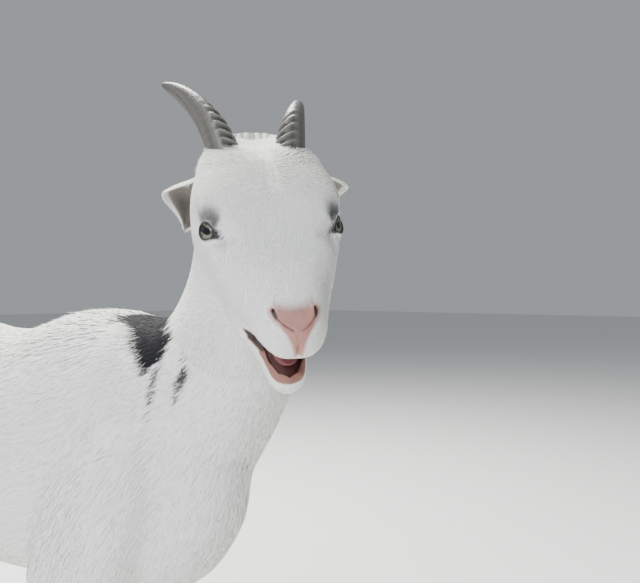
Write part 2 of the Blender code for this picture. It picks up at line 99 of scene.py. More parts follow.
HEAD_YAW, HEAD_PITCH, HEAD_ROLL = math.radians(36), math.radians(38), math.radians(4)
EYE = np.array((0.0400, 0.0745, -0.0130))
# The hide's own last rings: the neck's under the poll, and the legs' within the hooves.
NECK_END = (0.004, -0.309, 0.594, 0.040, 0.034)
FORE_END, HIND_END = (0.058, -0.157, 0.010, 0.0175, 0.0170), (0.058, 0.259, 0.010, 0.0175, 0.0170)
# How far the hide lies under the tips of the coat, and the width of the remesh's cells.
TRUNK_COAT, NECK_COAT, LEG_COAT, TAIL_COAT, FACE_COAT = 0.0026, 0.0016, 0.0013, 0.0036, 0.0008
CELL = 0.0044
RNG = np.random.default_rng(7)


def turn_about(axis, angle):
    """The matrix of a turn: cos I + sin [axis]x + (1 - cos) axis axis^T."""
    x, y, z = axis
    cross = np.array(((0, -z, y), (z, 0, -x), (-y, x, 0)))
    return (math.cos(angle) * np.eye(3) + math.sin(angle) * cross
            + (1 - math.cos(angle)) * np.outer(axis, axis))


AHEAD = np.array((-math.sin(HEAD_YAW), -math.cos(HEAD_YAW), 0.0))
ROLL = turn_about(AHEAD, HEAD_ROLL)
LEFT = ROLL @ np.array((math.cos(HEAD_YAW), -math.sin(HEAD_YAW), 0.0))
UPRIGHT = ROLL @ np.array((0.0, 0.0, 1.0))
FORWARD = AHEAD * math.cos(HEAD_PITCH) - UPRIGHT * math.sin(HEAD_PITCH)
OUT = AHEAD * math.sin(HEAD_PITCH) + UPRIGHT * math.cos(HEAD_PITCH)
HEAD_AXES = np.stack([LEFT, FORWARD, OUT])


def to_goat(points):
    """Carry points from the head's frame to the goat's: at + s LEFT + f FORWARD + u OUT."""
    return points @ HEAD_AXES + HEAD_AT


def to_head(points):
    """Carry points from the goat's frame to the head's."""
    return (points - HEAD_AT) @ HEAD_AXES.T


def left_half(local):
    """Fold the head's right half on to its left: |s|, f, u."""
    return np.stack([np.abs(local[:, 0]), local[:, 1], local[:, 2]], 1)


def unit_rows(rows):
    """Each row over its own length."""
    return rows / np.linalg.norm(rows, axis=1)[:, None]


eye_low, eye_high = [np.array(corner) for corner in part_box("eye_left")]
SHIFT = np.round((eye_low + eye_high) / 2 - to_goat(EYE), 5)


def read_table(table, count):
    """Read a table of rings at even steps of its length, on a cubic Hermite curve."""
    rows = np.array(table, dtype=float)
    steps = np.linalg.norm(np.diff(rows[:, :3], axis=0), axis=1)
    knots = np.concatenate([[0.0], np.cumsum(steps)])
    slopes = np.gradient(rows, knots, axis=0)
    where = np.linspace(0.0, knots[-1], count)
    left = np.clip(np.searchsorted(knots, where, side="right") - 1, 0, len(knots) - 2)
    span = (knots[left + 1] - knots[left])[:, None]
    t = (where - knots[left])[:, None] / span
    return ((2 * t**3 - 3 * t**2 + 1) * rows[left] + (t**3 - 2 * t**2 + t) * span * slopes[left]
            + (3 * t**2 - 2 * t**3) * rows[left + 1] + (t**3 - t**2) * span * slopes[left + 1])


def signed_power(values, power):
    """Raise sizes to a power and keep their signs."""
    return np.sign(values) * np.abs(values) ** power


def tube(spine, side, above, below, beside, sides, square=2.2):
    """A grid (rings, sides, 3): side * w cos^(2/n) + up * h sin^(2/n) about a spine.

    up is square to the spine's run and to side, and h differs above and below.
    """
    along = unit_rows(np.gradient(spine, axis=0))
    up = unit_rows(np.cross(np.asarray(side, dtype=float), along))
    angle = np.linspace(0.0, 2 * np.pi, sides, endpoint=False)
    across = signed_power(np.cos(angle), 2 / square)[None, :, None]
    rise = signed_power(np.sin(angle), 2 / square)[None, :, None]
    height = np.where(rise > 0, above[:, None, None], below[:, None, None]) * rise
    return (spine[:, None, :] + np.asarray(side) * beside[:, None, None] * across
            + up[:, None, :] * height)


def closed(grid):
    """Points and faces of a grid of rings, closed at each end by a fan to a pole."""
    rings, sides = grid.shape[:2]
    points = np.concatenate([grid.reshape(-1, 3), grid[0].mean(axis=0)[None],
                             grid[-1].mean(axis=0)[None]])
    i, j = np.meshgrid(np.arange(rings - 1), np.arange(sides), indexing="ij")
    i, j = i.ravel(), j.ravel()
    k = (j + 1) % sides
    quads = np.stack([i * sides + j, i * sides + k, (i + 1) * sides + k, (i + 1) * sides + j], 1)
    j = np.arange(sides)
    k = (j + 1) % sides
    low, last = np.full(sides, rings * sides), (rings - 1) * sides
    caps = np.concatenate([np.stack([low, k, j], 1), np.stack([low + 1, last + j, last + k], 1)])
    return points, quads.tolist() + caps.tolist()


def make_mesh(name, shapes):
    """One mesh of many shells, whose faces all point outwards."""
    points, faces, start = [], [], 0
    for shell_points, shell_faces in shapes:
        points.append(shell_points)
        faces += [[start + v for v in face] for face in shell_faces]
        start += len(shell_points)
    mesh = bpy.data.meshes.new(name)
    mesh.from_pydata(np.concatenate(points).tolist(), [], faces)
    shape = bmesh.new()
    shape.from_mesh(mesh)
    bmesh.ops.recalc_face_normals(shape, faces=shape.faces)
    shape.to_mesh(mesh)
    shape.free()
    mesh.shade_smooth()
    return mesh


def add_piece(name, mesh, surface):
    """Put a mesh in the scene as a piece of one finish that rides on the one body."""
    piece = bpy.data.objects.new(name, mesh)
    bpy.context.scene.collection.objects.link(piece)
    mesh.materials.append(surface)
    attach(piece, "root")
    return piece


def limb(table, coat, count=60, sides=40, mirror=1):
    """A neck, leg or tail: a tube about the table's spine, less the coat."""
    rows = read_table([(mirror * r[0], *r[1:]) for r in table], count)
    deep = rows[:, 3] - coat
    return tube(rows[:, :3], (1, 0, 0), deep, deep, rows[:, 4] - coat, sides)


def straight_spine(places, heights):
    """A spine in the plane of symmetry: (0, place, height)."""
    return np.stack([0 * places, places, heights], axis=1)


def barrel(table, coat, count, sides, square):
    """Rings square to y between a table's top and bottom, less the coat."""
    rows = read_table(table, count)
    half = (rows[:, 1] - rows[:, 2]) / 2 - coat
    return tube(straight_spine(rows[:, 0], (rows[:, 1] + rows[:, 2]) / 2), (1, 0, 0), half, half,
                rows[:, 3] - coat, sides, square)


def skull_grid(coat, count=110, sides=80):
    """The head above the mouth: rings square to f, widest at their own level."""
    rows = read_table(SKULL, count)
    return tube(straight_spine(rows[:, 0], rows[:, 2]), (1, 0, 0), rows[:, 1] - rows[:, 2] - coat,
                rows[:, 2] - rows[:, 3] - coat, rows[:, 4] - coat, sides, 2.8)


def jaw_turn(points):
    """Drop points about the jaw's hinge, and swing them sideways in proportion."""
    f, u = points[..., 1] - JAW_HINGE[0], points[..., 2] - JAW_HINGE[1]
    c, s = math.cos(JAW_OPEN), math.sin(JAW_OPEN)
    reach = np.clip(f / 0.11, 0.0, 1.2)
    return np.stack([points[..., 0] + JAW_SHIFT * reach, JAW_HINGE[0] + f * c + u * s,
                     JAW_HINGE[1] - f * s + u * c], axis=-1)


def blob(centre, sizes, rings=24, sides=28):
    """An ellipsoid as rings along y: centre - b cos, radii a sin and c sin."""
    turn = np.linspace(0.05, math.pi - 0.05, rings)
    spine = np.stack([np.full(rings, centre[0]), centre[1] - sizes[1] * np.cos(turn),
                      np.full(rings, centre[2])], axis=1)
    wide, deep = sizes[0] * np.sin(turn), sizes[2] * np.sin(turn)
    return tube(spine, (1, 0, 0), deep, deep, wide, sides, 2.0)


# Head masses: (s, f, u), (half sizes), one on each side: brow, cheek, lip, mouth corner.
MASSES = [((0.039, 0.066, -0.004), (0.0155, 0.019, 0.0115)),
          ((0.026, 0.060, -0.050), (0.0205, 0.039, 0.0285)),
          ((0.0110, 0.156, -0.042), (0.0130, 0.019, 0.0130)),
          ((0.024, 0.100, -0.066), (0.0120, 0.033, 0.0150))]
shells = [barrel(TRUNK, TRUNK_COAT, 90, 72, 2.2), limb(NECK[:-1] + [NECK_END], NECK_COAT),
          limb(TAIL, TAIL_COAT)]
for mirror in (1, -1):
    shells += [limb(FORE + [FORE_END], LEG_COAT, 96, 36, mirror),
               limb(HIND + [HIND_END], LEG_COAT, 116, 40, mirror)]
shells += [to_goat(skull_grid(FACE_COAT)), to_goat(jaw_turn(barrel(JAW, FACE_COAT, 60, 48, 2.1)))]
shells += [to_goat(blob((way * s, f, u), sizes)) for (s, f, u), sizes in MASSES for way in (1, -1)]


def normals_of(mesh):
    """The vertex normals of a mesh."""
    values = np.empty(len(mesh.vertices) * 3)
    mesh.vertex_normals.foreach_get("vector", values)
    return values.reshape(-1, 3)


def evaluated(name, mesh, settings):
    """The mesh that one modifier makes of another: settings hold its type and values."""
    work = bpy.data.objects.new(name, mesh)
    bpy.context.scene.collection.objects.link(work)
    step = work.modifiers.new("step", settings.pop("type"))
    for key, value in settings.items():
        setattr(step, key, value)
    bpy.context.view_layer.update()
    made = bpy.data.meshes.new_from_object(work.evaluated_get(bpy.context.evaluated_depsgraph_get()))
    bpy.data.objects.remove(work)
    return made


def points_of(mesh, what="vertices", key="co", width=3, kind=np.float64):
    """Read one property of a mesh as an array."""
    items = getattr(mesh, what)
    values = np.empty(len(items) * width, dtype=kind)
    items.foreach_get(key, values)
    return values.reshape(-1, width)


def relax(mesh, rounds, weight=1.0, hold=0.0):
    """Move a mesh's points half way to the mean of their neighbours, a number of times.

    hold pushes each point back out by that share of the move, so that little shrinks.
    """
    points = points_of(mesh)
    a, b = points_of(mesh, "edges", "vertices", 2, np.int32).T
    near = np.maximum(np.bincount(np.concatenate([a, b]), minlength=len(points)), 1)[:, None]
    weight = np.broadcast_to(weight, (len(points),))[:, None]
    for step in range(rounds):
        for share in ((0.5, -hold) if hold else (0.5,)):
            total = np.stack([np.bincount(a, points[b, k], len(points))
                              + np.bincount(b, points[a, k], len(points)) for k in range(3)], 1)
            points = points + share * weight * (total / near - points)
    mesh.vertices.foreach_set("co", points.ravel())


def refine(mesh, chosen):
    """Split in four each face that a test picks from the points of its middle."""
    shape = bmesh.new()
    shape.from_mesh(mesh)
    middles = np.array([face.calc_center_median() for face in shape.faces])
    picked = chosen(middles)
    edges = list({edge for face, pick in zip(shape.faces, picked) if pick for edge in face.edges})
    bmesh.ops.subdivide_edges(shape, edges=edges, cuts=1, use_grid_fill=True)
    shape.to_mesh(mesh)
    shape.free()


hide = evaluated("hide", make_mesh("hide", [closed(grid) for grid in shells]),
                 {"type": "REMESH", "mode": "VOXEL", "voxel_size": CELL})
relax(hide, 9)


def on_head(points):
    """True for the head ahead of the ears."""
    local = to_head(points)
    return (local[:, 1] > 0.0) & (local[:, 2] > -0.105) & (local[:, 1] + 0.9 * local[:, 2] > -0.06)


def on_features(points):
    """True near the eyes, the nose and the mouth."""
    local = to_head(points)
    by_eye = np.linalg.norm(left_half(local) - EYE - (0.009, 0.004, 0.005), axis=1) < 0.019
    by_mouth = (local[:, 1] > 0.122) & (local[:, 2] > -0.11)
    return by_eye | by_mouth


def on_lids(points):
    """True close round the opening of each eye and the nostrils."""
    mirrored = left_half(to_head(points))
    by_eye = np.linalg.norm(mirrored - EYE - (0.008, 0.004, 0.005), axis=1) < 0.0155
    return by_eye | (np.linalg.norm(mirrored - (0.009, 0.166, -0.024), axis=1) < 0.013)


for chosen, rounds in ((on_head, 4), (on_features, 3), (on_lids, 2)):
    refine(hide, chosen)
    relax(hide, rounds, chosen(points_of(hide)).astype(float), 0.3)


# The left ear: its root, its reach to the tip and the way it opens, in the head's frame,
# then half its width, half the thickness of its wall, and how far its rim rolls out.
EAR_ROOT, EAR_REACH = np.array((0.045, 0.021, -0.0015)), np.array((0.012, -0.043, -0.072))
EAR_OPENS = np.array((0.49, 0.57, 0.02))
EAR_WIDTH, EAR_WALL, EAR_ROLL = 0.0209, 0.0013, 0.0022


def ear_frame(way):
    """The ear's root, reach, unit run, way of opening and width, in the head's frame."""
    along = EAR_REACH / np.linalg.norm(EAR_REACH)
    opening = EAR_OPENS - along * (EAR_OPENS @ along)
    opening /= np.linalg.norm(opening)
    return [row * (way, 1, 1) for row in (EAR_ROOT, EAR_REACH, along, opening, np.cross(along, opening))]


def ear_section(t):
    """Half angle and radius of the ear's arc at a share t of its run.

    The arc opens from 2.0 to 1.3 rad, and its width swells by a sine and closes at the tip.
    """
    half = EAR_WIDTH * (0.60 + 0.57 * np.sin(np.pi * t**0.85)) * np.sqrt(np.maximum(1 - 0.95 * t**3, 0.0))
    half *= (0.45 + 0.55 * np.clip(t / 0.22, 0.0, 1.0) ** 0.7) * (1 - 0.82 * t)
    angle = 2.0 - 0.7 * t**0.7
    return angle, half / np.sin(np.minimum(angle, np.pi / 2))


def ear_shell(way, rows=64, across=44):
    """The cupped leaf as one closed grid: its outer face, round its rim, and its inner face."""
    root, reach, along, opening, wide = ear_frame(way)
    t = np.linspace(-0.04, 1.0, rows)[:, None]
    v = np.linspace(-1.0, 1.0, across)[None, :]
    angle, radius = ear_section(np.clip(t, 0.0, 1.0))
    wall = EAR_WALL * np.sqrt(np.clip(1.02 - v**6, 0.02, 1.0)) * (1 - 0.45 * np.clip(t, 0, 1))
    roll = EAR_ROLL * np.abs(v)**5 * np.sin(np.pi * np.clip(t, 0, 1)) ** 0.5

    def face(side):
        size = radius + side * np.minimum(wall, 0.25 * radius) + roll
        spine = root + (reach + along * side * 0.0012) * t[..., None]
        depth = radius - size * np.cos(angle * v)
        return spine + wide * (size * np.sin(angle * v))[..., None] + opening * depth[..., None]

    return np.concatenate([face(1), face(-1)[:, ::-1]], axis=1)


def joined(body, tool):
    """The exact union of two closed meshes."""
    knife = bpy.data.objects.new("knife", tool)
    bpy.context.scene.collection.objects.link(knife)
    made = evaluated("body", body, {"type": "BOOLEAN", "operation": "UNION", "object": knife,
                                    "solver": "EXACT"})
    bpy.data.objects.remove(knife)
    return made


for way in (1, -1):
    hide = joined(hide, make_mesh("ear", [closed(to_goat(ear_shell(way)))]))
by_root = left_half(to_head(points_of(hide))) - (0.045, 0.018, -0.014)
relax(hide, 12, np.exp(-(np.linalg.norm(by_root, axis=1) / 0.020) ** 4), 0.3)

# The eye's own axes: out of the head, along the lids to the tear duct, and up.
GAZE = np.array((0.80, 0.35, 0.45)) / np.linalg.norm((0.80, 0.35, 0.45))
NOSEWARD = np.array((0.0, 1.0, 0.0)) - GAZE * GAZE[1]
NOSEWARD /= np.linalg.norm(NOSEWARD)
LID_UP = np.cross(GAZE, NOSEWARD)
LID_UP *= np.sign(LID_UP[2])
LID_TILT = math.radians(20)
NOSEWARD, LID_UP = (NOSEWARD * math.cos(LID_TILT) + LID_UP * math.sin(LID_TILT),
                    LID_UP * math.cos(LID_TILT) - NOSEWARD * math.sin(LID_TILT))
EYE_RADIUS, LID_ENDS = 0.0125, (-0.0078, 0.0092)


def lid_edges(x):
    """Heights of the upper and lower lid at x along the opening: sines drawn to two corners."""
    t = np.clip((x - LID_ENDS[0]) / (LID_ENDS[1] - LID_ENDS[0]), 0.0, 1.0)
    return 0.0052 * np.sin(np.pi * t**0.92) ** 0.72, -0.0052 * np.sin(np.pi * t**1.02) ** 0.84


def eye_places(local):
    """Arc lengths x, y over the eyeball from its axis, radius times angle.

    With them come the distance from the ball's centre, the cosine from its axis and the way out.
    """
    away = local - EYE
    distance = np.linalg.norm(away, axis=1)
    unit = away / np.maximum(distance, 1e-9)[:, None]
    facing = np.clip(unit @ GAZE, -1.0, 1.0)
    arc = EYE_RADIUS * np.arccos(facing) / np.sqrt(np.maximum(1 - facing**2, 1e-9))
    return unit @ NOSEWARD * arc, unit @ LID_UP * arc, distance, facing, unit


def lid_gap(x, y):
    """How far outside the lids' opening a place is; it is negative inside."""
    upper, lower = lid_edges(x)
    above, beyond = np.maximum(y - upper, lower - y), np.maximum(LID_ENDS[0] - x, x - LID_ENDS[1])
    return (np.hypot(np.maximum(above, 0.0), np.maximum(beyond, 0.0))
            + np.minimum(0.0, np.maximum(above, beyond)))


def smooth_step(low, high, values):
    """0 below low, 1 above high, and 3t^2 - 2t^3 between."""
    t = np.clip((values - low) / (high - low), 0.0, 1.0)
    return t * t * (3 - 2 * t)


def sink_eyes(local):
    """Lay the lids on the eyeball and open them: the radius follows the gap from their edge.

    Outwards from the edge come a bead, a crease and a fold in the upper lid, a shallower
    crease in the lower one, and a slope into the head; inside it the hide sinks behind the ball.
    """
    x, y, distance, facing, unit = eye_places(left_half(local))
    gap = lid_gap(x, y)
    upper = smooth_step(-0.001, 0.003, y)
    lid = (EYE_RADIUS + 0.0011 + 0.0008 * np.exp(-((gap - 0.0010) / 0.0011) ** 2)
           - 0.0008 * upper * np.exp(-((gap - 0.0048) / 0.0010) ** 2)
           + 0.0010 * upper * np.exp(-((gap - 0.0068) / 0.0018) ** 2)
           - 0.0006 * (1 - upper) * np.exp(-((gap - 0.0036) / 0.0008) ** 2)
           + 0.06 * np.maximum(gap - 0.002, 0.0))
    lid = np.where(gap < 0.0, EYE_RADIUS - 0.0040, lid)
    reach = np.maximum(smooth_step(0.021, 0.031, distance), smooth_step(0.35, 0.05, facing))
    reach = np.maximum(smooth_step(0.0020, 0.0115, gap), reach)
    wanted = lid * (1 - reach) + distance * reach
    moved = EYE + unit * wanted[:, None]
    moved[:, 0] *= np.sign(local[:, 0])
    return moved


def path_distance(points, path):
    """The distance from each point to a path of straight stretches."""
    path = np.asarray(path, dtype=float)
    best = np.full(len(points), 1e9)
    for a, b in zip(path, path[1:]):
        t = np.clip((points - a) @ (b - a) / ((b - a) @ (b - a)), 0.0, 1.0)
        best = np.minimum(best, np.linalg.norm(points - a - t[:, None] * (b - a), axis=1))
    return best


# Worked forms of the face, on the left: (path, width, height, way), all in the head's
# frame: the nostril's rim and slit, the dip of the poll, the philtrum, the nose's bridge
# and the hollow beside it, and the lip's roll.  A negative height is a groove.
NOSTRIL = [(0.0146, 0.1575, -0.0203), (0.0124, 0.1625, -0.0236), (0.0078, 0.1682, -0.0252),
           (0.0032, 0.1712, -0.0270)]
FORMS = [(NOSTRIL, 0.0040, 0.0013, (0.3, 0.8, 0.5)),
         (NOSTRIL, 0.0011, -0.0032, (0.25, 0.9, 0.35)),
         ([(0.0, -0.070, 0.000), (0.0, -0.040, 0.014), (0.0, -0.022, 0.020), (0.0, 0.000, 0.025)],
          0.020, -0.0065, (0.0, 0.0, 1.0)),
         ([(0.0, 0.178, -0.031), (0.0, 0.177, -0.052)], 0.0012, -0.0016, (0.0, 1.0, 0.0)),
         ([(0.0, 0.060, -0.004), (0.0, 0.090, -0.010)], 0.012, 0.0012, (0.0, 0.2, 1.0)),
         ([(0.022, 0.085, -0.016), (0.016, 0.130, -0.026)], 0.008, -0.0012, (0.7, 0.0, 0.7)),
         ([(0.030, 0.108, -0.056), (0.026, 0.134, -0.0585)], 0.0030, 0.0011, (0.8, 0.2, -0.3))]


def work_face(local):
    """Raise and groove the face: height * exp(-(distance / width)^2) along a way."""
    for side in (1, -1):
        for path, width, height, way in FORMS:
            flip = np.array((side, 1, 1))
            if side < 0 and all(p[0] == 0 for p in path):
                continue
            unit = np.array(way) * flip / np.linalg.norm(way)
            away = path_distance(local, np.array(path) * flip)
            local = local + unit * (height * np.exp(-(away / width) ** 2))[:, None]
    return local


# The upper lip's edge and the mouth's corner in the head's frame, then the floor's and the
# lower lip's edges with the jaw closed.
LIP_LINE = [(0.0245, 0.1340, -0.0590), (0.0225, 0.1500, -0.0535), (0.0130, 0.1680, -0.0510),
            (0.0, 0.1740, -0.0505)]
CORNER = [(0.0268, 0.1284, -0.0600), (0.0246, 0.1296, -0.0629), (0.0220, 0.1295, -0.0671),
          (0.0189, 0.1294, -0.0713), (0.0162, 0.1312, -0.0740), (0.0136, 0.1339, -0.0759)]
LOWER_LIP = [(0.0175, 0.1300, -0.0535), (0.0150, 0.1480, -0.0535), (0.0095, 0.1600, -0.0550),
             (0.0, 0.1655, -0.0575)]
LIP_EDGE = [(0.0158, 0.1374, -0.0602), (0.0139, 0.1435, -0.0594), (0.0122, 0.1507, -0.0594),
            (0.0104, 0.1572, -0.0604), (0.0082, 0.1609, -0.0604), (0.0043, 0.1634, -0.0600),
            (0.0, 0.1640, -0.0600)]


def jaw_back(local):
    """Close the jaw: the reverse of jaw_turn."""
    f, u = local[:, 1] - JAW_HINGE[0], local[:, 2] - JAW_HINGE[1]
    c, s = math.cos(JAW_OPEN), math.sin(JAW_OPEN)
    closed_f = JAW_HINGE[0] + f * c - u * s
    return np.stack([local[:, 0] - JAW_SHIFT * np.clip((closed_f - JAW_HINGE[0]) / 0.11, 0.0, 1.2),
                     closed_f, JAW_HINGE[1] + f * s + u * c], 1)


def mouth_places(local, normals):
    """Folded places of head and closed jaw, and how far a place is within palate and floor."""
    up = normals @ HEAD_AXES[2]
    folded, jaw = left_half(local), left_half(jaw_back(local))
    upper, lower = (path_distance(places[:, :2], np.array(line)[:, :2])
                    for places, line in ((folded, LIP_LINE), (jaw, LOWER_LIP)))
    mouth_part = (local[:, 1] > 0.112) & (local[:, 2] < -0.035) & (folded[:, 0] < 0.032)
    palate = mouth_part * (local[:, 2] > -0.064) * smooth_step(-0.30, -0.70, up)
    palate *= smooth_step(0.0016, 0.0040, upper) * (local[:, 1] < 0.172)
    base = mouth_part * (local[:, 2] < -0.060) * (jaw[:, 2] > -0.064) * smooth_step(0.35, 0.75, up)
    base *= smooth_step(0.0018, 0.0045, lower) * (jaw[:, 1] < 0.164)
    return folded, jaw, mouth_part, palate, base


local = to_head(points_of(hide))
head_part = (local[:, 1] > -0.02) & (np.abs(local[:, 0]) < 0.08) & (local[:, 2] > -0.13)
slit_away = path_distance(left_half(local), NOSTRIL)
palate, base = mouth_places(local, normals_of(hide))[3:]
local[:, 2] += 0.0030 * palate - 0.0050 * base
local[head_part] = work_face(sink_eyes(local[head_part]))
hide.vertices.foreach_set("co", to_goat(local).ravel())
hide.update()

# Colours, linear: the coat's white, black and grey, its creamy poll and the parting on the
# forehead (its bare skin and painted shade), then bare skin at eyes, nose, lips and ears, with
# painted shade in the mouth's corner and lining, the nostrils' outer ends and the ear's cup.
WHITE, BLACK, GREY = (0.80, 0.80, 0.78), (0.009, 0.009, 0.012), (0.085, 0.085, 0.095)
PINK, LIP, MOUTH_LINING_AND_SHADE = (0.41, 0.195, 0.165), (0.27, 0.125, 0.095), (0.070, 0.015, 0.014)
RIM, EAR_PINK, EAR_HOLLOW_SHADE = (0.020, 0.017, 0.017), (0.165, 0.140, 0.122), (0.030, 0.024, 0.020)
CREAM, PARTING_SKIN_AND_SHADE, CORNER_SKIN_AND_SHADE = (0.80, 0.79, 0.70), (0.44, 0.40, 0.31), (0.030, 0.015, 0.013)
SLIT, SLIT_END_SHADE = (0.15, 0.055, 0.048), (0.020, 0.015, 0.015)


def ear_places(local):
    """Share t of the ear's run, angle over its half angle, and depth within its wall."""
    found = []
    for way in (1, -1):
        root, reach, along, opening, wide = ear_frame(way)
        t = (local - root) @ along / np.linalg.norm(reach)
        angle, radius = ear_section(np.clip(t, 0.0, 1.0))
        off = local - root - reach * t[:, None]
        y, z = off @ wide, radius - off @ opening
        found.append((t, np.arctan2(y, z) / angle, np.hypot(y, z) - radius))
    return [np.where(local[:, 0] > 0, left, right) for left, right in zip(*found)]


def mix(colour, other, share):
    """Blend rows of colours towards one colour."""
    return colour + (np.asarray(other) - colour) * np.clip(share, 0.0, 1.0)[:, None]


# The black patch over the crest and two streaks before it, as (y, z) outlines and paths.
PATCH = [(-0.1600, 0.530), (-0.1600, 0.4935), (-0.1838, 0.4882), (-0.1934, 0.4817), (-0.2037, 0.4736),
         (-0.2120, 0.4681), (-0.2220, 0.4603), (-0.2317, 0.4510), (-0.2381, 0.4448), (-0.2408, 0.4524),
         (-0.2475, 0.4593), (-0.2546, 0.4661), (-0.2540, 0.4726), (-0.2569, 0.4800), (-0.2511, 0.4864),
         (-0.2378, 0.4924), (-0.2305, 0.530)]
STREAKS = [(0.90, [(-0.2508, 0.4650, 0.0010), (-0.2502, 0.4524, 0.0030), (-0.2499, 0.4451, 0.0033),
                   (-0.2496, 0.4362, 0.0030), (-0.2481, 0.4279, 0.0022), (-0.2464, 0.4100, 0.0)]),
           (0.95, [(-0.2740, 0.4690, 0.0006), (-0.2792, 0.4596, 0.0026), (-0.2798, 0.4541, 0.0042),
                   (-0.2778, 0.4476, 0.0046), (-0.2761, 0.4427, 0.0036), (-0.2740, 0.4362, 0.0022),
                   (-0.2733, 0.4230, 0.0)]),
           (0.40, [(-0.2280, 0.4330, 0.0002), (-0.2304, 0.4258, 0.0011), (-0.2332, 0.4186, 0.0010),
                   (-0.2347, 0.4120, 0.0)])]


def marking(points):
    """How black the coat is, 0 to 1, at points in the goat's frame.

    The distance inside the patch's outline, or within a streak's half width at its height,
    plus sines along the hair for a ragged edge, over the crest and the right side.
    """
    flat = points[:, 1:]
    edge = np.array(PATCH)
    away = path_distance(flat, np.vstack([edge, edge[:1]]))
    inside = np.zeros(len(points), dtype=bool)
    for (y0, z0), (y1, z1) in zip(edge, np.roll(edge, -1, 0)):
        crosses = (z0 > flat[:, 1]) != (z1 > flat[:, 1])
        at = y0 + (flat[:, 1] - z0) / np.where(z1 == z0, 1e-9, z1 - z0) * (y1 - y0)
        inside ^= crosses & (flat[:, 0] < at)
    depth = np.where(inside, away, -away)
    rag = (0.0012 * np.sin(points[:, 2] * 900 + points[:, 1] * 300)
           + 0.0008 * np.sin(points[:, 2] * 2100 + 1.0))
    black = smooth_step(-0.0012, 0.0012, depth + rag)
    for share, rows in STREAKS:
        rows = np.array(rows)
        half = np.interp(flat[:, 1], rows[::-1, 1], rows[::-1, 2], left=-0.002, right=-0.002)
        depth = half - path_distance(flat, rows[:, :2]) + 0.4 * rag
        black = np.maximum(black, share * smooth_step(-0.0008, 0.0008, depth))
    return black * smooth_step(0.036, 0.022, points[:, 0])


def nose_distance(mirrored):
    """The distance outside the bare pad: a heart of half width w(u), and the nostrils' rims."""
    wide = np.interp(mirrored[:, 2], (-0.050, -0.040, -0.033, -0.0285, -0.0245, -0.0205, -0.0175),
                     (0.0010, 0.0024, 0.0046, 0.0072, 0.0116, 0.0135, 0.0115))
    pad = np.maximum(mirrored[:, 0] - wide, np.maximum(mirrored[:, 2] + 0.0192, 0.150 - mirrored[:, 1]))
    pad = np.maximum(pad, -0.043 - mirrored[:, 2])
    return np.minimum(pad, path_distance(mirrored, NOSTRIL) - 0.0022)


def coat_colour(points):
    """The colour of skin and coat at points in the goat's frame.

    Each part of the pattern fades by a smooth step of its distance: the brow's smudge, the
    lids' edge, the crease below, the wedge at the tear duct, the parting's bare skin and painted shade, the
    poll, the nose.
    """
    local = to_head(points)
    mirrored = left_half(local)
    x, y, distance = eye_places(mirrored)[:3]
    gap = np.where(distance < 0.03, lid_gap(x, y), 1.0)
    near = distance < 0.034
    brow = smooth_step(0.0105, 0.0060, gap) * smooth_step(-0.001, 0.003, y)
    brow = 0.95 * (brow * smooth_step(0.0120, 0.0070, np.abs(x + 0.002)))
    crease = np.exp(-((gap - 0.0058) / 0.0007) ** 2) * smooth_step(0.001, -0.002, y)
    crease = 0.25 * (crease * smooth_step(-0.006, 0.0, x))
    by_lid = np.maximum(np.maximum(brow, 0.80 * smooth_step(0.0028, 0.0008, gap)), crease)
    duct = np.abs(y - 0.0006 + 0.12 * (x - 0.0085)) - 0.0040 * np.clip((0.0150 - x) / 0.0068, 0, 1)
    wedge = near * 0.95 * smooth_step(0.0009, -0.0005, duct) * (x > 0.005)
    wet = near * 0.85 * smooth_step(-0.0002, -0.0014, duct) * (x > 0.005)
    # The parting: a line of bare skin and painted shade down the forehead.
    parting = np.hypot(local[:, 0] - 0.003, local[:, 1] - np.clip(local[:, 1], 0.038, 0.058))
    poll = 0.6 * smooth_step(0.085, 0.030, local[:, 1]) * smooth_step(-0.02, 0.01, local[:, 2])
    nose = nose_distance(mirrored)
    colour = np.tile(np.array(WHITE), (len(points), 1))
    for other, share in ((BLACK, marking(points)), (GREY, near * by_lid),
                         (GREY, wedge * smooth_step(0.0158, 0.0142, x)),
                         (RIM, wet * smooth_step(0.0152, 0.0120, x)),
                         (PARTING_SKIN_AND_SHADE, 0.75 * smooth_step(0.0028, 0.0006, parting) * (local[:, 2] > 0.0)),
                         (CREAM, poll), (RIM, smooth_step(0.0012, 0.0004, gap)),
                         (PINK, smooth_step(0.0034, -0.0010, nose))):
        colour = mix(colour, other, share)
    return colour, local, mirrored, nose


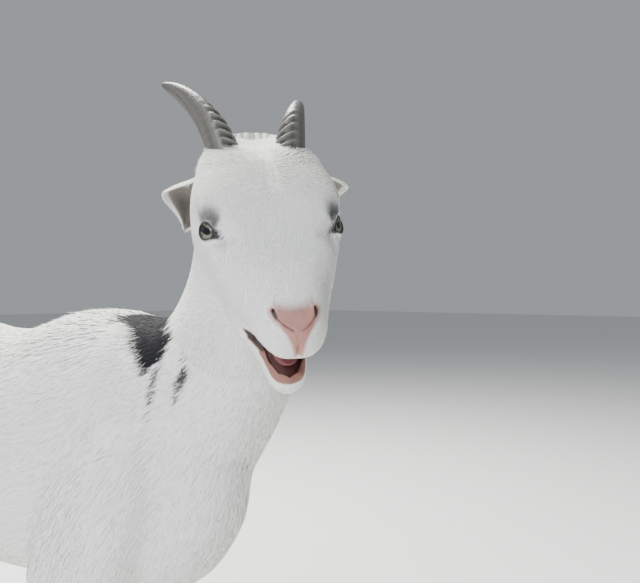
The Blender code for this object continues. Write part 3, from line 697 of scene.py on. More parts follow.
def skin_colour(points, normals, slit):
    """The bare skin: as the coat, with nostrils, lips, the mouth's lining and the ear's hollow, and painted
    shade in the mouth's corner and lining, the nostrils' outer ends and the ear's cup.
    """
    colour, local = coat_colour(points)[:2]
    folded, jaw, mouth_part, palate, base = mouth_places(local, normals)
    upper, lower = path_distance(folded, LIP_LINE), path_distance(jaw, LOWER_LIP)
    lining = mouth_part * (local[:, 2] < -0.058) * smooth_step(0.0058, 0.0036, lower)
    # Painted shade: the nostrils' outer ends are painted darker, where their openings run deep.
    outer = smooth_step(0.171, 0.160, folded[:, 1])
    open_half = 0.0007 + 0.0006 * outer
    inside = smooth_step(open_half + 0.0005, open_half - 0.0005, slit)
    t, angle, depth = ear_places(local)
    hollow = (np.abs(depth) < 0.006) & (t > -0.05) & (t < 1.05) & (np.abs(angle) < 1.1)
    bare = hollow * smooth_step(0.0004, -0.0004, depth) * smooth_step(1.0, 0.85, np.abs(angle))
    # Painted shade deep in the ear's cup, away from its rim.
    dark = hollow * smooth_step(0.0, -0.0006, depth) * 0.95 * smooth_step(0.95, 0.45, np.abs(angle))
    for other, share in (
            (LIP, mouth_part * (local[:, 2] > -0.063) * smooth_step(0.0030, 0.0014, upper)),
            (LIP, lining * smooth_step(-0.0640, -0.0615, jaw[:, 2])),
            (LIP, smooth_step(0.0044, 0.0028, path_distance(folded, CORNER[2:]))),
            (LIP, smooth_step(0.0040, 0.0024, path_distance(jaw, LIP_EDGE))),
            # Painted shade over the lips' dark skin in the mouth's corner.
            (CORNER_SKIN_AND_SHADE, smooth_step(0.0034, 0.0018, path_distance(folded, CORNER))),
            # Painted shade in the open mouth: its palate and floor are painted near black over their red
            # lining.
            (MOUTH_LINING_AND_SHADE, smooth_step(0.15, 0.6, palate + base)), (SLIT, inside), (SLIT_END_SHADE, inside * outer),
            (EAR_PINK, bare * smooth_step(-0.05, 0.05, t)),
            (EAR_HOLLOW_SHADE, dark * smooth_step(0.98, 0.80, t) * smooth_step(0.15, 0.50, t))):
        colour = mix(colour, other, share)
    return colour


def paint(mesh, colours):
    """Store one linear colour for each point of a mesh."""
    layer = mesh.color_attributes.new("tint", "FLOAT_COLOR", "POINT")
    rows = np.concatenate([colours, np.ones((len(colours), 1))], 1).astype(np.float32)
    layer.data.foreach_set("color", rows.ravel())


def finish(name, roughness, bump=(), colour=None, **sockets):
    """A material: a painted or plain colour, and noise bumps of (scale, height)."""
    made = bpy.data.materials.new(name)
    made.use_nodes = True
    nodes, links = made.node_tree.nodes, made.node_tree.links
    shader = nodes["Principled BSDF"]
    shader.inputs["Roughness"].default_value = roughness
    for key, value in sockets.items():
        shader.inputs[key.replace("_", " ")].default_value = value
    if colour is None:
        layer = nodes.new("ShaderNodeVertexColor")
        layer.layer_name = "tint"
        links.new(layer.outputs["Color"], shader.inputs["Base Color"])
    else:
        shader.inputs["Base Color"].default_value = (*colour, 1)
    place = nodes.new("ShaderNodeTexCoord")
    before = None
    for scale, height in bump:
        noise = nodes.new("ShaderNodeTexNoise")
        noise.inputs["Scale"].default_value = scale
        noise.inputs["Detail"].default_value = 3
        links.new(place.outputs["Object"], noise.inputs["Vector"])
        raise_by = nodes.new("ShaderNodeBump")
        raise_by.inputs["Distance"].default_value = height
        raise_by.inputs["Strength"].default_value = 1.0
        links.new(noise.outputs["Fac"], raise_by.inputs["Height"])
        if before:
            links.new(before.outputs["Normal"], raise_by.inputs["Normal"])
        before = raise_by
    if before:
        links.new(before.outputs["Normal"], shader.inputs["Normal"])
    return made


skin_finish = finish("skin_finish", 0.62, ((900, 0.0004), (220, 0.0006)))
hide_points, hide_normals = points_of(hide), normals_of(hide)
paint(hide, skin_colour(hide_points, hide_normals, slit_away))
skin = add_piece("skin", hide, skin_finish)
hide.vertices.foreach_set("co", (hide_points + SHIFT).ravel())
hide.update()
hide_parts("head", "jaw", "neck", "trunk", "tail", "leg_front_left", "leg_front_right",
            "leg_hind_left", "leg_hind_right", "ear_left", "ear_right")

# ---------------------------------------------------------------- eyes
# Each eyeball is a polished glass ball with a low cornea, painted with a pale grey
# green iris and the goat's broad slot of a pupil, and it sits behind dark wet lids.
IRIS, IRIS_EDGE = (0.135, 0.150, 0.110), (0.05, 0.055, 0.045)
PUPIL, SCLERA, LASH = (0.006, 0.006, 0.008), (0.10, 0.08, 0.06), (0.50, 0.47, 0.42)
IRIS_RADIUS, SLOT_REACH, LASHES, LASH_LENGTH = 0.0082, 0.0038, 22, 0.0052
RIM_STEPS, RIM_SIDES = 120, 12
eye_finish = finish("eye_finish", 0.12, Coat_Weight=0.3, Coat_Roughness=0.03, Specular_IOR_Level=0.3)
for side, way in (("left", 1), ("right", -1)):
    flip = np.array((way, 1, 1))
    polar = np.linspace(0.004, math.pi - 0.004, 110)
    turn = np.linspace(0, 2 * math.pi, 96, endpoint=False)
    reach = np.sin(polar)[:, None] * EYE_RADIUS
    bulge = 1 + 0.035 * np.exp(-(polar / 0.55) ** 4)[:, None, None]
    grid = EYE + bulge * (GAZE * (np.cos(polar) * EYE_RADIUS)[:, None, None]
                          + NOSEWARD * (reach * np.cos(turn))[..., None]
                          + LID_UP * (reach * np.sin(turn))[..., None])
    points, faces = closed(grid)
    x, y, _, facing, _ = eye_places(points)
    colour = np.tile(np.array(SCLERA), (len(points), 1))
    out = np.hypot(x, y * 1.03)
    spoke = 0.5 + 0.5 * np.sin(np.arctan2(y, x) * 34 + 3 * np.sin(np.arctan2(y, x) * 7))
    front = facing > 0
    iris = np.array(IRIS) * (0.80 + 0.35 * spoke * smooth_step(0.002, 0.006, out))[:, None]
    colour = np.where((front & (out < IRIS_RADIUS))[:, None], iris, colour)
    colour = mix(colour, IRIS_EDGE, front * smooth_step(0.0070, IRIS_RADIUS, out)
                 * smooth_step(0.0095, IRIS_RADIUS, out))
    slot = np.hypot(np.maximum(np.abs(x + 0.0006) - SLOT_REACH, 0.0), y - 0.0004)
    colour = mix(colour, PUPIL, front * smooth_step(0.0026, 0.0022, slot))
    mesh = make_mesh("eyeball_" + side, [(to_goat(points * flip) + SHIFT, faces)])
    paint(mesh, colour)
    ball = add_piece("eyeball_" + side, mesh, eye_finish)
    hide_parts("eye_" + side)

    # The lid's dark wet margin, a bead laid along the edge of the opening.
    s = np.linspace(0, 2 * np.pi, RIM_STEPS, endpoint=False)
    middle, half = (LID_ENDS[0] + LID_ENDS[1]) / 2, (LID_ENDS[1] - LID_ENDS[0]) / 2
    x = middle + half * np.cos(s)
    upper, lower = lid_edges(x)
    y = np.where(np.sin(s) >= 0, upper, lower)
    unit = NOSEWARD * (x / EYE_RADIUS)[:, None] + LID_UP * (y / EYE_RADIUS)[:, None]
    unit = unit_rows(unit + GAZE * np.sqrt(np.maximum(1 - (unit**2).sum(1), 0.05))[:, None])
    path = EYE + unit * (EYE_RADIUS + 0.0006)
    beside = np.cross(unit_rows(np.roll(path, -1, 0) - np.roll(path, 1, 0)), unit)
    turn = np.linspace(0, 2 * np.pi, RIM_SIDES, endpoint=False)
    grid = (path[:, None] + beside[:, None] * (0.0004 * np.cos(turn))[None, :, None]
            + unit[:, None] * (0.0006 * np.sin(turn))[None, :, None])
    i, j = np.meshgrid(np.arange(RIM_STEPS), np.arange(RIM_SIDES), indexing="ij")
    i, j = i.ravel() * RIM_SIDES, j.ravel()
    i_next, j_next = (i + RIM_SIDES) % (RIM_STEPS * RIM_SIDES), (j + 1) % RIM_SIDES
    faces = np.stack([i + j, i_next + j, i_next + j_next, i + j_next], 1).tolist()
    mesh = make_mesh("lid_rim_" + side, [(to_goat(grid.reshape(-1, 3) * flip) + SHIFT, faces)])
    rim = add_piece("lid_rim_" + side, mesh,
                    finish("lid_wet_" + side, 0.30, ((1400, 0.0002),), colour=RIM))

    # Pale lashes stand out along the upper lid.
    lashes = []
    for at in np.linspace(LID_ENDS[0] + 0.0015, LID_ENDS[1] - 0.0015, LASHES):
        upper = lid_edges(np.array([at]))[0][0] + 0.0008
        unit = NOSEWARD * (at / EYE_RADIUS) + LID_UP * (upper / EYE_RADIUS)
        unit = unit + GAZE * math.sqrt(max(1 - unit @ unit, 0.05))
        t = np.linspace(0.0, 1.0, 6)[:, None]
        ahead = 0.9 * unit + 0.10 * LID_UP + NOSEWARD * (at * 40 + RNG.normal(0, 0.10))
        spine = EYE + unit * (EYE_RADIUS + 0.0006) + LASH_LENGTH * (t * ahead + 0.25 * t**2 * LID_UP)
        size = 0.00012 * (1.02 - t[:, 0])
        lashes.append(closed(to_goat(tube(spine, (0, 1, 0), size, size, size, 5, 2.0) * flip) + SHIFT))
    lashes = add_piece("lashes_" + side, make_mesh("lashes_" + side, lashes),
                       finish("lash_" + side, 0.6, colour=LASH))

# ---------------------------------------------------------------- tongue
# The tongue lies on the floor of the open mouth: a flat, rounded blade with a groove
# down its middle.  It is an ellipsoid with a blunt outline, laid in the frame of the jaw.
TONGUE_WIDE, TONGUE_LONG, TONGUE_DEEP, TONGUE_GROOVE = 0.0105, 0.0195, 0.0042, 0.0012
low, high = [np.array(corner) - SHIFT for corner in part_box("tongue")]
tongue_at = jaw_back(to_head(((low + high) / 2)[None]))[0]
tongue_at += np.array((0.0, -0.0050, -0.0032))
along, turn = np.meshgrid(np.linspace(0.02, math.pi - 0.02, 60),
                          np.linspace(0, 2 * np.pi, 48, endpoint=False), indexing="ij")
blade = np.stack([TONGUE_WIDE * np.sin(along) ** 0.8 * np.cos(turn), -TONGUE_LONG * np.cos(along),
                  TONGUE_DEEP * np.sin(along) ** 0.8 * np.sin(turn)], -1)
groove = TONGUE_GROOVE * np.exp(-(blade[..., 0] / 0.0016) ** 2)
blade[..., 2] -= groove * (np.sin(turn) > 0) * np.sin(along)
tongue_mesh = make_mesh("tongue_blade", [closed(to_goat(jaw_turn(blade + tongue_at)) + SHIFT)])
tongue = add_piece("tongue_blade", tongue_mesh,
                   finish("tongue_finish", 0.35, ((1500, 0.0004),), colour=(0.20, 0.055, 0.060)))
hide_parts("tongue")

# ---------------------------------------------------------------- horns
# Two short ridged horns of grey keratin rise from behind the brow and sweep back.  The
# rings stand high on the front keel and die out on the smooth outer face.
HORN_ROOT, HORN_RADIUS, HORN_FLATNESS, HORN_RIDGES = (0.0238, 0.008, 0.001), 0.0190, 0.74, 19
HORN_COLOUR = np.array((0.43, 0.41, 0.38))
HORN_SWEEP = {"left": ((0.005, -0.022, 0.046), (0.030, -0.090, 0.012)),
              "right": ((0.008, -0.034, 0.043), (0.044, -0.092, 0.033))}
horn_finish = finish("horn_finish", 0.42, ((220, 0.0003), (900, 0.0002)))
for side, way in (("left", 1), ("right", -1)):
    rings, sides = 260, 72
    root = np.array((way * HORN_ROOT[0], HORN_ROOT[1], HORN_ROOT[2]))
    bend, tip = [np.array((way * p[0], p[1], p[2])) for p in HORN_SWEEP[side]]
    # The run is a parabola from root to tip, and the radius closes to a blunt point.
    t = np.linspace(0.0, 1.0, rings)
    spine = root + 2 * (t * (1 - t))[:, None] * bend + (t**2)[:, None] * tip
    radius = HORN_RADIUS * np.sqrt(np.maximum(1 - 0.995 * t**2.2, 0.0)) * (1 - 0.45 * t)
    grid = tube(spine, (1, 0, 0), radius, radius, radius * HORN_FLATNESS, sides, 2.0)
    angle = np.linspace(0.0, 2 * np.pi, sides, endpoint=False)
    # Each ring is a saw along the run, slow to rise and quick to fall, that dips round the
    # sides; it swells the front keel over the lower half.
    front = np.clip(1.30 * np.cos(angle - math.atan2(-0.50, -way * 0.87)) - 0.22, 0, 1) ** 0.9
    keel = (0.05 + 0.95 * front)[None, :] * (1 - smooth_step(0.34, 0.60, t))[:, None]
    phase = (HORN_RIDGES * t[:, None] * (1 - 0.25 * t[:, None]) + 0.30 * np.abs(np.cos(angle))[None, :]
             + 0.12 * np.sin(9 * t)[:, None]) % 1.0
    ring = np.where(phase < 0.60, phase / 0.60, (1 - phase) / 0.40) ** 1.5
    swell = 1 + keel * 0.17 * (ring - 0.40)
    grid = spine[:, None] + (grid - spine[:, None]) * swell[..., None]
    grid[:, :, 1] += 0.0030 * (front**3)[None, :] * (1 - t)[:, None] ** 0.5
    points, faces = closed(to_goat(grid) + SHIFT)
    # Painted highlights on the ridges and painted shade in the grooves, with fine streaks along the smooth
    # face.
    shade = 0.15 + 0.42 * keel * ring**1.6 + 0.06 * (1 - front)[None, :] - 0.09 * keel * (1 - ring)
    streak = 0.035 * np.sin(angle * 23 + 2 * np.sin(5 * angle)) + 0.030 * np.sin(angle * 9 + 1.0)
    streak = (streak * (1 - 0.6 * front))[None, :] * (0.7 + 0.3 * np.sin(11 * t))[:, None]
    shade = (shade + streak) * (1 - 0.25 * smooth_step(0.8, 1.0, t))[:, None]
    shade = np.concatenate([shade.reshape(-1), shade[0, :1], shade[-1, :1]])
    mesh = make_mesh("horn_sheath_" + side, [(points, faces)])
    paint(mesh, shade[:, None] * HORN_COLOUR)
    sheath = add_piece("horn_sheath_" + side, mesh, horn_finish)
    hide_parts("horn_" + side)

# ---------------------------------------------------------------- hooves
# Each foot has two claws of dark horn with growth rings, and two small dewclaws behind
# the pastern.  A claw is a stack of half-round rings that narrows upwards, drawn to a toe
# in front and lower at the heel, and it fills the box of its solid.
CLAW_GAP, CLAW_COLOUR, SPUR_COLOUR = 0.0022, np.array((1.0, 0.86, 0.68)), (0.22, 0.19, 0.15)
hoof_finish = finish("hoof_finish", 0.5, ((500, 0.0005),))
for name in [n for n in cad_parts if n.startswith("hoof_")]:
    low, high = [np.array(corner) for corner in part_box(name)]
    inner = 1 if name.endswith("inner") == ("left" in name) else -1
    rings, sides = 40, 48
    t = np.linspace(0.0, 1.0, rings)[:, None]
    angle = np.linspace(0.0, 2 * np.pi, sides, endpoint=False)[None, :]
    wide, length = (high[0] - low[0] - CLAW_GAP) / 2, (high[1] - low[1]) / 2
    middle_x = (low[0] + high[0]) / 2 + 0.0008 * inner
    ripple = 1 + 0.004 * np.sin(t * 46 + 3 * t**2) * (t < 0.85)
    close = (1 - 0.10 * t) * (1 - 0.22 * smooth_step(0.80, 1.0, t)) * ripple
    half = length * 0.97 * (1 - 0.26 * t) * (1 - 0.12 * smooth_step(0.85, 1.0, t))
    ring_y = low[1] + 2 * length - 0.0015 - half + half * ripple * signed_power(np.sin(angle), 0.85)
    toe = np.clip(-np.sin(angle), 0, 1)
    flat = np.where(np.cos(angle) * inner > 0, 0.80, 1.0)
    ring_x = (middle_x + wide * close * flat * signed_power(np.cos(angle), 0.85) * (1 - 0.38 * toe**2)
              - inner * CLAW_GAP * toe**2)
    heel = np.clip(np.sin(angle), 0, 1)
    height = low[2] + (high[2] - low[2]) * (0.006 + 0.994 * t) * (1 - 0.22 * heel)
    height = np.where(t == 0, low[2], height)
    mesh = make_mesh("claw" + name[4:], [closed(np.stack([ring_x, ring_y, height], -1))])
    x, y, z = points_of(mesh).T
    shade = 0.20 + 0.012 * np.sin((z - low[2]) * 1500) + 0.10 * smooth_step(low[2] + 0.012, high[2], z)
    shade += 0.02 * np.sin(y * 900 + 2 * np.sin(x * 700)) - 0.06 * smooth_step(0.006, 0.0, z)
    paint(mesh, shade[:, None] * CLAW_COLOUR)
    claw = add_piece("claw" + name[4:], mesh, hoof_finish)
    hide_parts(name)

# Dewclaws: small blunt cones behind each pastern, pointing down.
spurs = []
for table in (FORE, HIND):
    rows = read_table(table, 200)
    row = rows[np.argmin(np.abs(rows[:, 2] - 0.060))]
    for way in (1, -1):
        for across in (0.0075, -0.0075):
            t = np.linspace(0.0, 1.0, 14)
            start_at = np.array((way * row[0] + across, row[1] + row[3] - 0.0075, row[2] + 0.003))
            spine = start_at + t[:, None] * np.array((0.2 * across, 0.0075, -0.012))
            size = 0.0040 * np.sqrt(np.maximum(1 - t**2.5, 0.01))
            spurs.append(closed(tube(spine, (1, 0, 0), size, size, size * 0.85, 16, 2.0) + SHIFT))
mesh = make_mesh("dewclaws", spurs)
paint(mesh, np.tile(np.array(SPUR_COLOUR), (len(mesh.vertices), 1)))
dewclaws = add_piece("dewclaws", mesh, hoof_finish)

# ---------------------------------------------------------------- the coat
# Tapered locks of hair, each a thin closed blade with three corners, lie over the skin
# along the growth of the coat: short and fine on the face and feet, long on the body.
hide.calc_loop_triangles()
corner = points_of(hide, "loop_triangles", "vertices", 3, np.int32)
skin_normals = normals_of(hide)
a, b, c = (hide_points[corner[:, k]] for k in range(3))
area = np.linalg.norm(np.cross(b - a, c - a), axis=1) / 2
SPINE_STEPS = 48


def limb_spines():
    """Every limb's name, spine, run to its free end, and mean half size along it."""
    found = []
    for name, table in (("neck", NECK), ("tail", TAIL), ("fore", FORE), ("hind", HIND)):
        for way in ((1,) if name in ("neck", "tail") else (1, -1)):
            rows = read_table([(way * r[0], *r[1:]) for r in table], SPINE_STEPS)
            run = unit_rows(np.gradient(rows[:, :3], axis=0))
            label = name + {1: "_left", -1: "_right"}[way] if name in ("fore", "hind") else name
            found.append((label, rows[:, :3], -run if name == "neck" else run,
                          (rows[:, 3] + rows[:, 4]) / 2))
    rows = read_table(TRUNK, SPINE_STEPS)
    spine = straight_spine(rows[:, 0], (rows[:, 1] + rows[:, 2]) / 2)
    found.append(("trunk", spine, np.tile((0.0, 1.0, 0.0), (SPINE_STEPS, 1)),
                  ((rows[:, 1] - rows[:, 2]) / 2 + rows[:, 3]) / 2))
    return found


SPINES = limb_spines()
PART_NAMES = ["head", "ear"] + [row[0] for row in SPINES]


def growth(points, normals):
    """The part that each place belongs to and the way its hair lies.

    Near a limb's spine, in units of the limb's size, that limb's run counts by
    exp(-3 q^2); the sum is laid in the skin's plane.
    """
    local = to_head(points)
    weights, ways = [], []
    for name, spine, run, size in SPINES:
        best, at = np.full(len(points), 1e9), np.zeros(len(points), dtype=int)
        for k in range(len(spine)):
            q = np.linalg.norm(points - spine[k], axis=1) / size[k]
            nearer = q < best
            best[nearer], at[nearer] = q[nearer], k
        weights.append(np.exp(-3.0 * (best - 0.6)))
        way = run[at].copy()
        if name == "trunk":
            side = np.abs(normals[:, 0])
            way[:, 2] -= 0.75 * side * smooth_step(-0.28, 0.0, points[:, 1])
            way[:, 2] -= 1.4 * smooth_step(-0.10, -0.26, points[:, 1])
        if name == "neck":
            way[:, 1] += 0.35
        ways.append(way)
    weights, ways = np.array(weights), np.array(ways)
    flow = (weights[..., None] ** 2 * ways).sum(0)
    part = 2 + weights.argmax(0)
    # The head: out from the whorl on the forehead, back and down along the cheeks.
    s, f, u = local.T
    m = normals @ HEAD_AXES.T
    top = smooth_step(0.25, 0.80, m[:, 2])
    from_whorl = np.stack([s - 0.003, f - np.clip(f, 0.036, 0.060), 0 * s], 1)
    reach = np.linalg.norm(from_whorl, axis=1)[:, None]
    radial = from_whorl / (reach + 1e-6)
    radial[:, 1] += np.clip((f - 0.048) / 0.016, -1, 1) * 0.9 * smooth_step(0.008, 0.035, reach[:, 0])
    cheek = np.stack([0 * s, -0.60 + 0 * s, -0.80 + 0 * s], 1)
    muzzle = np.stack([0.35 * np.sign(s), -0.2 + 0 * s, -0.85 + 0 * s], 1)
    by_nose = smooth_step(0.120, 0.150, f)[:, None]
    face_way = radial * top[:, None] + (cheek * (1 - by_nose) + muzzle * by_nose) * (1 - top)[:, None]
    under = smooth_step(-0.3, -0.8, m[:, 2])[:, None]
    face_way = face_way * (1 - under) + np.array((0.0, -1.0, 0.0)) * under
    on_face = smooth_step(-0.035, 0.005, f + 0.55 * (u + 0.03)) * (u > -0.12) * (f < 0.2)
    flow = flow / (np.linalg.norm(flow, axis=1)[:, None] + 1e-9)
    flow = flow * (1 - on_face)[:, None] + (face_way @ HEAD_AXES) * on_face[:, None] * 1.2
    part = np.where(on_face > 0.5, 0, part)
    t, angle, depth = ear_places(local)
    on_ear = (np.abs(depth) < 0.0045) & (t > 0.06) & (t < 1.08) & (np.abs(angle) < 1.15)
    on_left = (s > 0)[:, None]
    along, wide = (np.where(on_left, ear_frame(1)[k], ear_frame(-1)[k]) for k in (2, 4))
    outward = along + 0.70 * wide * np.clip(angle, -1, 1)[:, None] * np.where(depth > 0, 1.0, -0.4)[:, None]
    flow = np.where(on_ear[:, None], outward @ HEAD_AXES, flow)
    part = np.where(on_ear, 1, part)
    flow -= normals * (flow * normals).sum(1)[:, None]
    flow /= np.linalg.norm(flow, axis=1)[:, None] + 1e-9
    return part, flow, local, m, t, angle, depth


TREE = BVHTree.FromPolygons(hide_points.tolist(), corner.tolist(), all_triangles=True)


def over_skin(points):
    """The nearest place of the skin to each point, and the skin's normal there."""
    found = [TREE.find_nearest(point) for point in points.tolist()]
    up = skin_normals[corner[[row[2] for row in found]]].mean(1)
    return np.array([row[0][:] for row in found]), unit_rows(up)


# The hair of each part: spacing, length, lift in degrees, width, roundness and looseness.
HAIR = {"head": (0.00142, 0.0068, 2.8, 0.00085, 0.24, 0.0), "ear": (0.0013, 0.0048, 4.0, 0.00050, 0.22, 0.0),
        "neck": (0.0022, 0.0175, 1.6, 0.0016, 0.16, 0.0), "tail": (0.0028, 0.024, 1.8, 0.0020, 0.22, 0.5),
        "fore": (0.0023, 0.0070, 2.5, 0.0012, 0.22, 0.0), "hind": (0.0023, 0.0070, 2.5, 0.0012, 0.22, 0.0),
        "trunk": (0.0028, 0.024, 1.8, 0.0020, 0.22, 0.0)}


def locks(part, local, points, normals, m, angle):
    """Spacing, length, lift, width, roundness and looseness of the hair at each place.

    The part's row, longer up the legs, finer at the nape, fuller along the back and the
    withers, raised in a cuff round each horn and at the ears' rims, and short by the nose and the lips.
    """
    rows = np.array([HAIR[name.split("_")[0]] for name in PART_NAMES])[part]
    spacing, length, lift, width, relief, loose = rows.T
    face, names = part == 0, np.array([name.split("_")[0] for name in PART_NAMES])[part]
    high = smooth_step(0.10, 0.30, points[:, 2]) * ((names == "fore") | (names == "hind"))
    nape = (names == "neck") * smooth_step(-0.070, -0.030, local[:, 2])
    length = length + 0.014 * high - 0.0075 * nape
    spacing = spacing + 0.0009 * high - 0.0007 * nape
    width = width + 0.0006 * high - 0.0008 * nape
    topline = (names == "trunk") * smooth_step(0.4, 0.9, normals[:, 2])
    withers = topline * np.exp(-((points[:, 1] + 0.11) / 0.05) ** 2)
    length = length + 0.004 * topline + 0.005 * withers
    lift = lift + 2.5 * topline + 6 * withers
    s, f, u = local.T
    top = face * smooth_step(0.1, 0.6, m[:, 2])
    poll = top * smooth_step(0.020, 0.000, f)
    between = poll * smooth_step(0.036, 0.015, np.abs(s))
    cuff = top * smooth_step(0.034, 0.024, np.hypot(np.abs(s) - 0.0238, f - 0.008)) * (1 - between)
    length = length + 0.002 * poll + 0.003 * cuff + 0.003 * (face * smooth_step(-0.055, -0.085, u))
    lift = lift + 3 * poll + 10 * cuff + 4 * ((part == 1) * smooth_step(0.70, 0.98, np.abs(angle)))
    spacing = spacing + 0.0002 * poll
    loose = loose + 0.7 * cuff
    length = length * (1 - 0.45 * face * smooth_step(0.125, 0.155, f))
    by_lip = path_distance(left_half(local), CORNER[::-1] + LIP_LINE)
    length = np.where(face, length * (0.30 + 0.70 * smooth_step(0.002, 0.011, by_lip)), length)
    return spacing, length, lift, width, relief, loose


# Where a lock's rings and its tip stand along it, how far its ridge rises over its width,
# and the size of its patch in the unwrap.
LOCK_STEPS, RIDGE, PATCH_WIDE = np.array((0.0, 0.52, 1.0)), 0.11, 0.0014


def blades(root, normal, flow, length, lift, width, relief, loose, tone, unwrap):
    """Points, faces, colours, unwrap and soft normals of closed tapered locks.

    Along t the middle runs root + flow L t cos(lift), at the height L sin(lift) (t - 0.3 t^2)
    over the nearest skin, and a flat triangle of width w sqrt(1 - t^1.5) is set round it.
    Loose locks keep the straight run of their root instead.
    """
    count, t = len(root), LOCK_STEPS
    rings = len(t) - 1
    side = np.cross(flow, normal)
    curl = RNG.normal(0, 0.10, count)[:, None, None]
    way = (flow[:, None] * (length * np.cos(lift))[:, None, None] * t[None, :, None]
           + normal[:, None] * (length * np.sin(lift))[:, None, None] * (t - 0.3 * t**2)[None, :, None]
           + side[:, None] * length[:, None, None] * curl * (t**2)[None, :, None])
    place, up = over_skin(root + way[:, rings])
    astray = np.linalg.norm(place - root - way[:, rings], axis=1) > 0.5 * length + 0.003
    way[((up * normal).sum(1) < 0.1) | astray] *= 0.4
    middle = root[:, None] - normal[:, None] * 0.0006 + way
    ups = np.repeat(normal[:, None], rings + 1, axis=1)
    for k in range(1, rings + 1):
        place, up = over_skin(middle[:, k])
        hold = (((up * normal).sum(1) > 0.1) * (1 - loose))[:, None]
        height = length * np.sin(lift) * (t[k] - 0.3 * t[k] ** 2) + 0.0001
        middle[:, k] += (place + up * height[:, None] - middle[:, k]) * hold
        ups[:, k] += (up - normal) * hold
    ups /= np.linalg.norm(ups, axis=2)[..., None]
    size = (width[:, None] * np.sqrt(np.maximum(1 - t[None, :] ** 1.5, 0)))[..., None]
    left = middle[:, :rings] - side[:, None] * size[:, :rings] / 2
    right = middle[:, :rings] + side[:, None] * size[:, :rings] / 2
    ridge = middle[:, :rings] + ups[:, :rings] * size[:, :rings] * RIDGE
    ring = np.stack([left, right, ridge], axis=2).reshape(count, rings * 3, 3)
    points = np.concatenate([ring, middle[:, rings:]], axis=1)
    per = rings * 3 + 1
    faces, under = [(0, 1, 2)], [False]
    for k in range(rings - 1):
        for x, y in ((0, 1), (1, 2), (2, 0)):
            p, q, r, w = 3 * k + x, 3 * k + y, 3 * k + 3 + y, 3 * k + 3 + x
            faces += [(p, w, r), (p, r, q)]
            under += [x == 0, x == 0]
    last = 3 * (rings - 1)
    faces += [(last + x, per - 1, last + y) for x, y in ((0, 1), (1, 2), (2, 0))]
    under = np.array(under + [True, False, False])
    own_faces = np.array(faces)
    faces = (own_faces[None] + (np.arange(count) * per)[:, None, None]).reshape(-1, 3)
    # Painted shade: each lock is darker towards its root, where the locks over it shade it, and a little
    # lighter at its tip.
    shade = np.concatenate([np.repeat(0.93 + 0.07 * t[:rings], 3), [1.02]])
    slip = flow * RNG.normal(0, 0.08, count)[:, None] * length[:, None]
    colours = coat_colour((middle + slip[:, None]).reshape(-1, 3))[0].reshape(count, rings + 1, 3)
    colours = np.concatenate([np.repeat(colours[:, :rings], 3, axis=1), colours[:, rings:]], 1)
    colours = colours * shade[None, :, None] * tone[:, None, None]
    across = np.concatenate([np.tile([-1.0, 1.0, 0.0], rings), [0.0]]) * PATCH_WIDE
    ahead = (np.concatenate([np.repeat(t[:rings], 3), [1.0]]) - 0.5) * 2 * PATCH_WIDE
    places = unwrap[:, None, :] + np.stack([across, ahead], 1)[None]
    # The sides' normals lean outwards, so that each lock catches the light as a soft round.
    own = np.concatenate([np.tile(np.stack([-side, side, 0 * side], 1), (1, rings, 1)), 0 * side[:, None]], 1)
    soft = np.concatenate([np.repeat(ups[:, :rings], 3, axis=1), ups[:, rings:]], 1)
    soft = soft + relief[:, None, None] * own
    soft /= np.linalg.norm(soft, axis=2)[..., None]
    soft = soft[:, own_faces]
    drop = 2 * (soft * normal[:, None, None]).sum(-1, keepdims=True) * normal[:, None, None]
    soft = soft - drop * under[None, :, None, None]
    return points.reshape(-1, 3), faces, colours.reshape(-1, 3), places.reshape(-1, 2), soft.reshape(-1, 3)


def coat_mesh(name, points, faces, colours, places, soft):
    """A mesh of triangles with its tint, its unwrap and its soft normals."""
    mesh = bpy.data.meshes.new(name)
    mesh.vertices.add(len(points))
    mesh.vertices.foreach_set("co", points.astype(np.float32).ravel())
    mesh.loops.add(faces.size)
    mesh.loops.foreach_set("vertex_index", faces.astype(np.int32).ravel())
    mesh.polygons.add(len(faces))
    mesh.polygons.foreach_set("loop_start", np.arange(0, faces.size, 3, dtype=np.int32))
    mesh.update(calc_edges=True)
    mesh.shade_smooth()
    paint(mesh, colours)
    layer = mesh.uv_layers.new(name="OFBake")
    layer.data.foreach_set("uv", places[faces.ravel()].astype(np.float32).ravel())
    layer = mesh.attributes.new("custom_normal", "FLOAT_VECTOR", "CORNER")
    layer.data.foreach_set("vector", soft.astype(np.float32).ravel())
    return mesh


# Candidates are spread evenly over the skin, denser on the head, then thinned to one in
# each small cell.
HEAD_DENSITY, BODY_DENSITY, SOLE_RIM = 2.0e6, 5.6e5, 0.0285
by_head = to_head((a + b + c) / 3)
density = 1.15 * np.where(by_head[:, 1] + 0.55 * (by_head[:, 2] + 0.03) > -0.035, HEAD_DENSITY, BODY_DENSITY)
share = np.cumsum(area * density)
total = int(share[-1])
pick = np.searchsorted(share, (np.arange(total) + RNG.random(total)) / total * share[-1])
pick = np.minimum(pick, len(corner) - 1)
r1, r2 = np.sqrt(RNG.random(total)), RNG.random(total)
bary = np.stack([1 - r1, r1 * (1 - r2), r1 * r2], 1)
root = (hide_points[corner[pick]] * bary[..., None]).sum(1)
normal = unit_rows((skin_normals[corner[pick]] * bary[..., None]).sum(1))
part, flow, local, m, ear_t, ear_angle, ear_depth = growth(root, normal)
spacing, length, lift, width, relief, loose = locks(part, local, root, normal, m, ear_angle)
mirrored = left_half(local)
cell = np.floor(root / spacing[:, None] + RNG.random(3)).astype(np.int64)
key = part.astype(np.int64) * 7919
for column, prime in zip(cell.T, (73856093, 19349663, 83492791)):
    key ^= column * prime
keep = np.zeros(total, dtype=bool)
keep[np.unique(key, return_index=True)[1]] = True
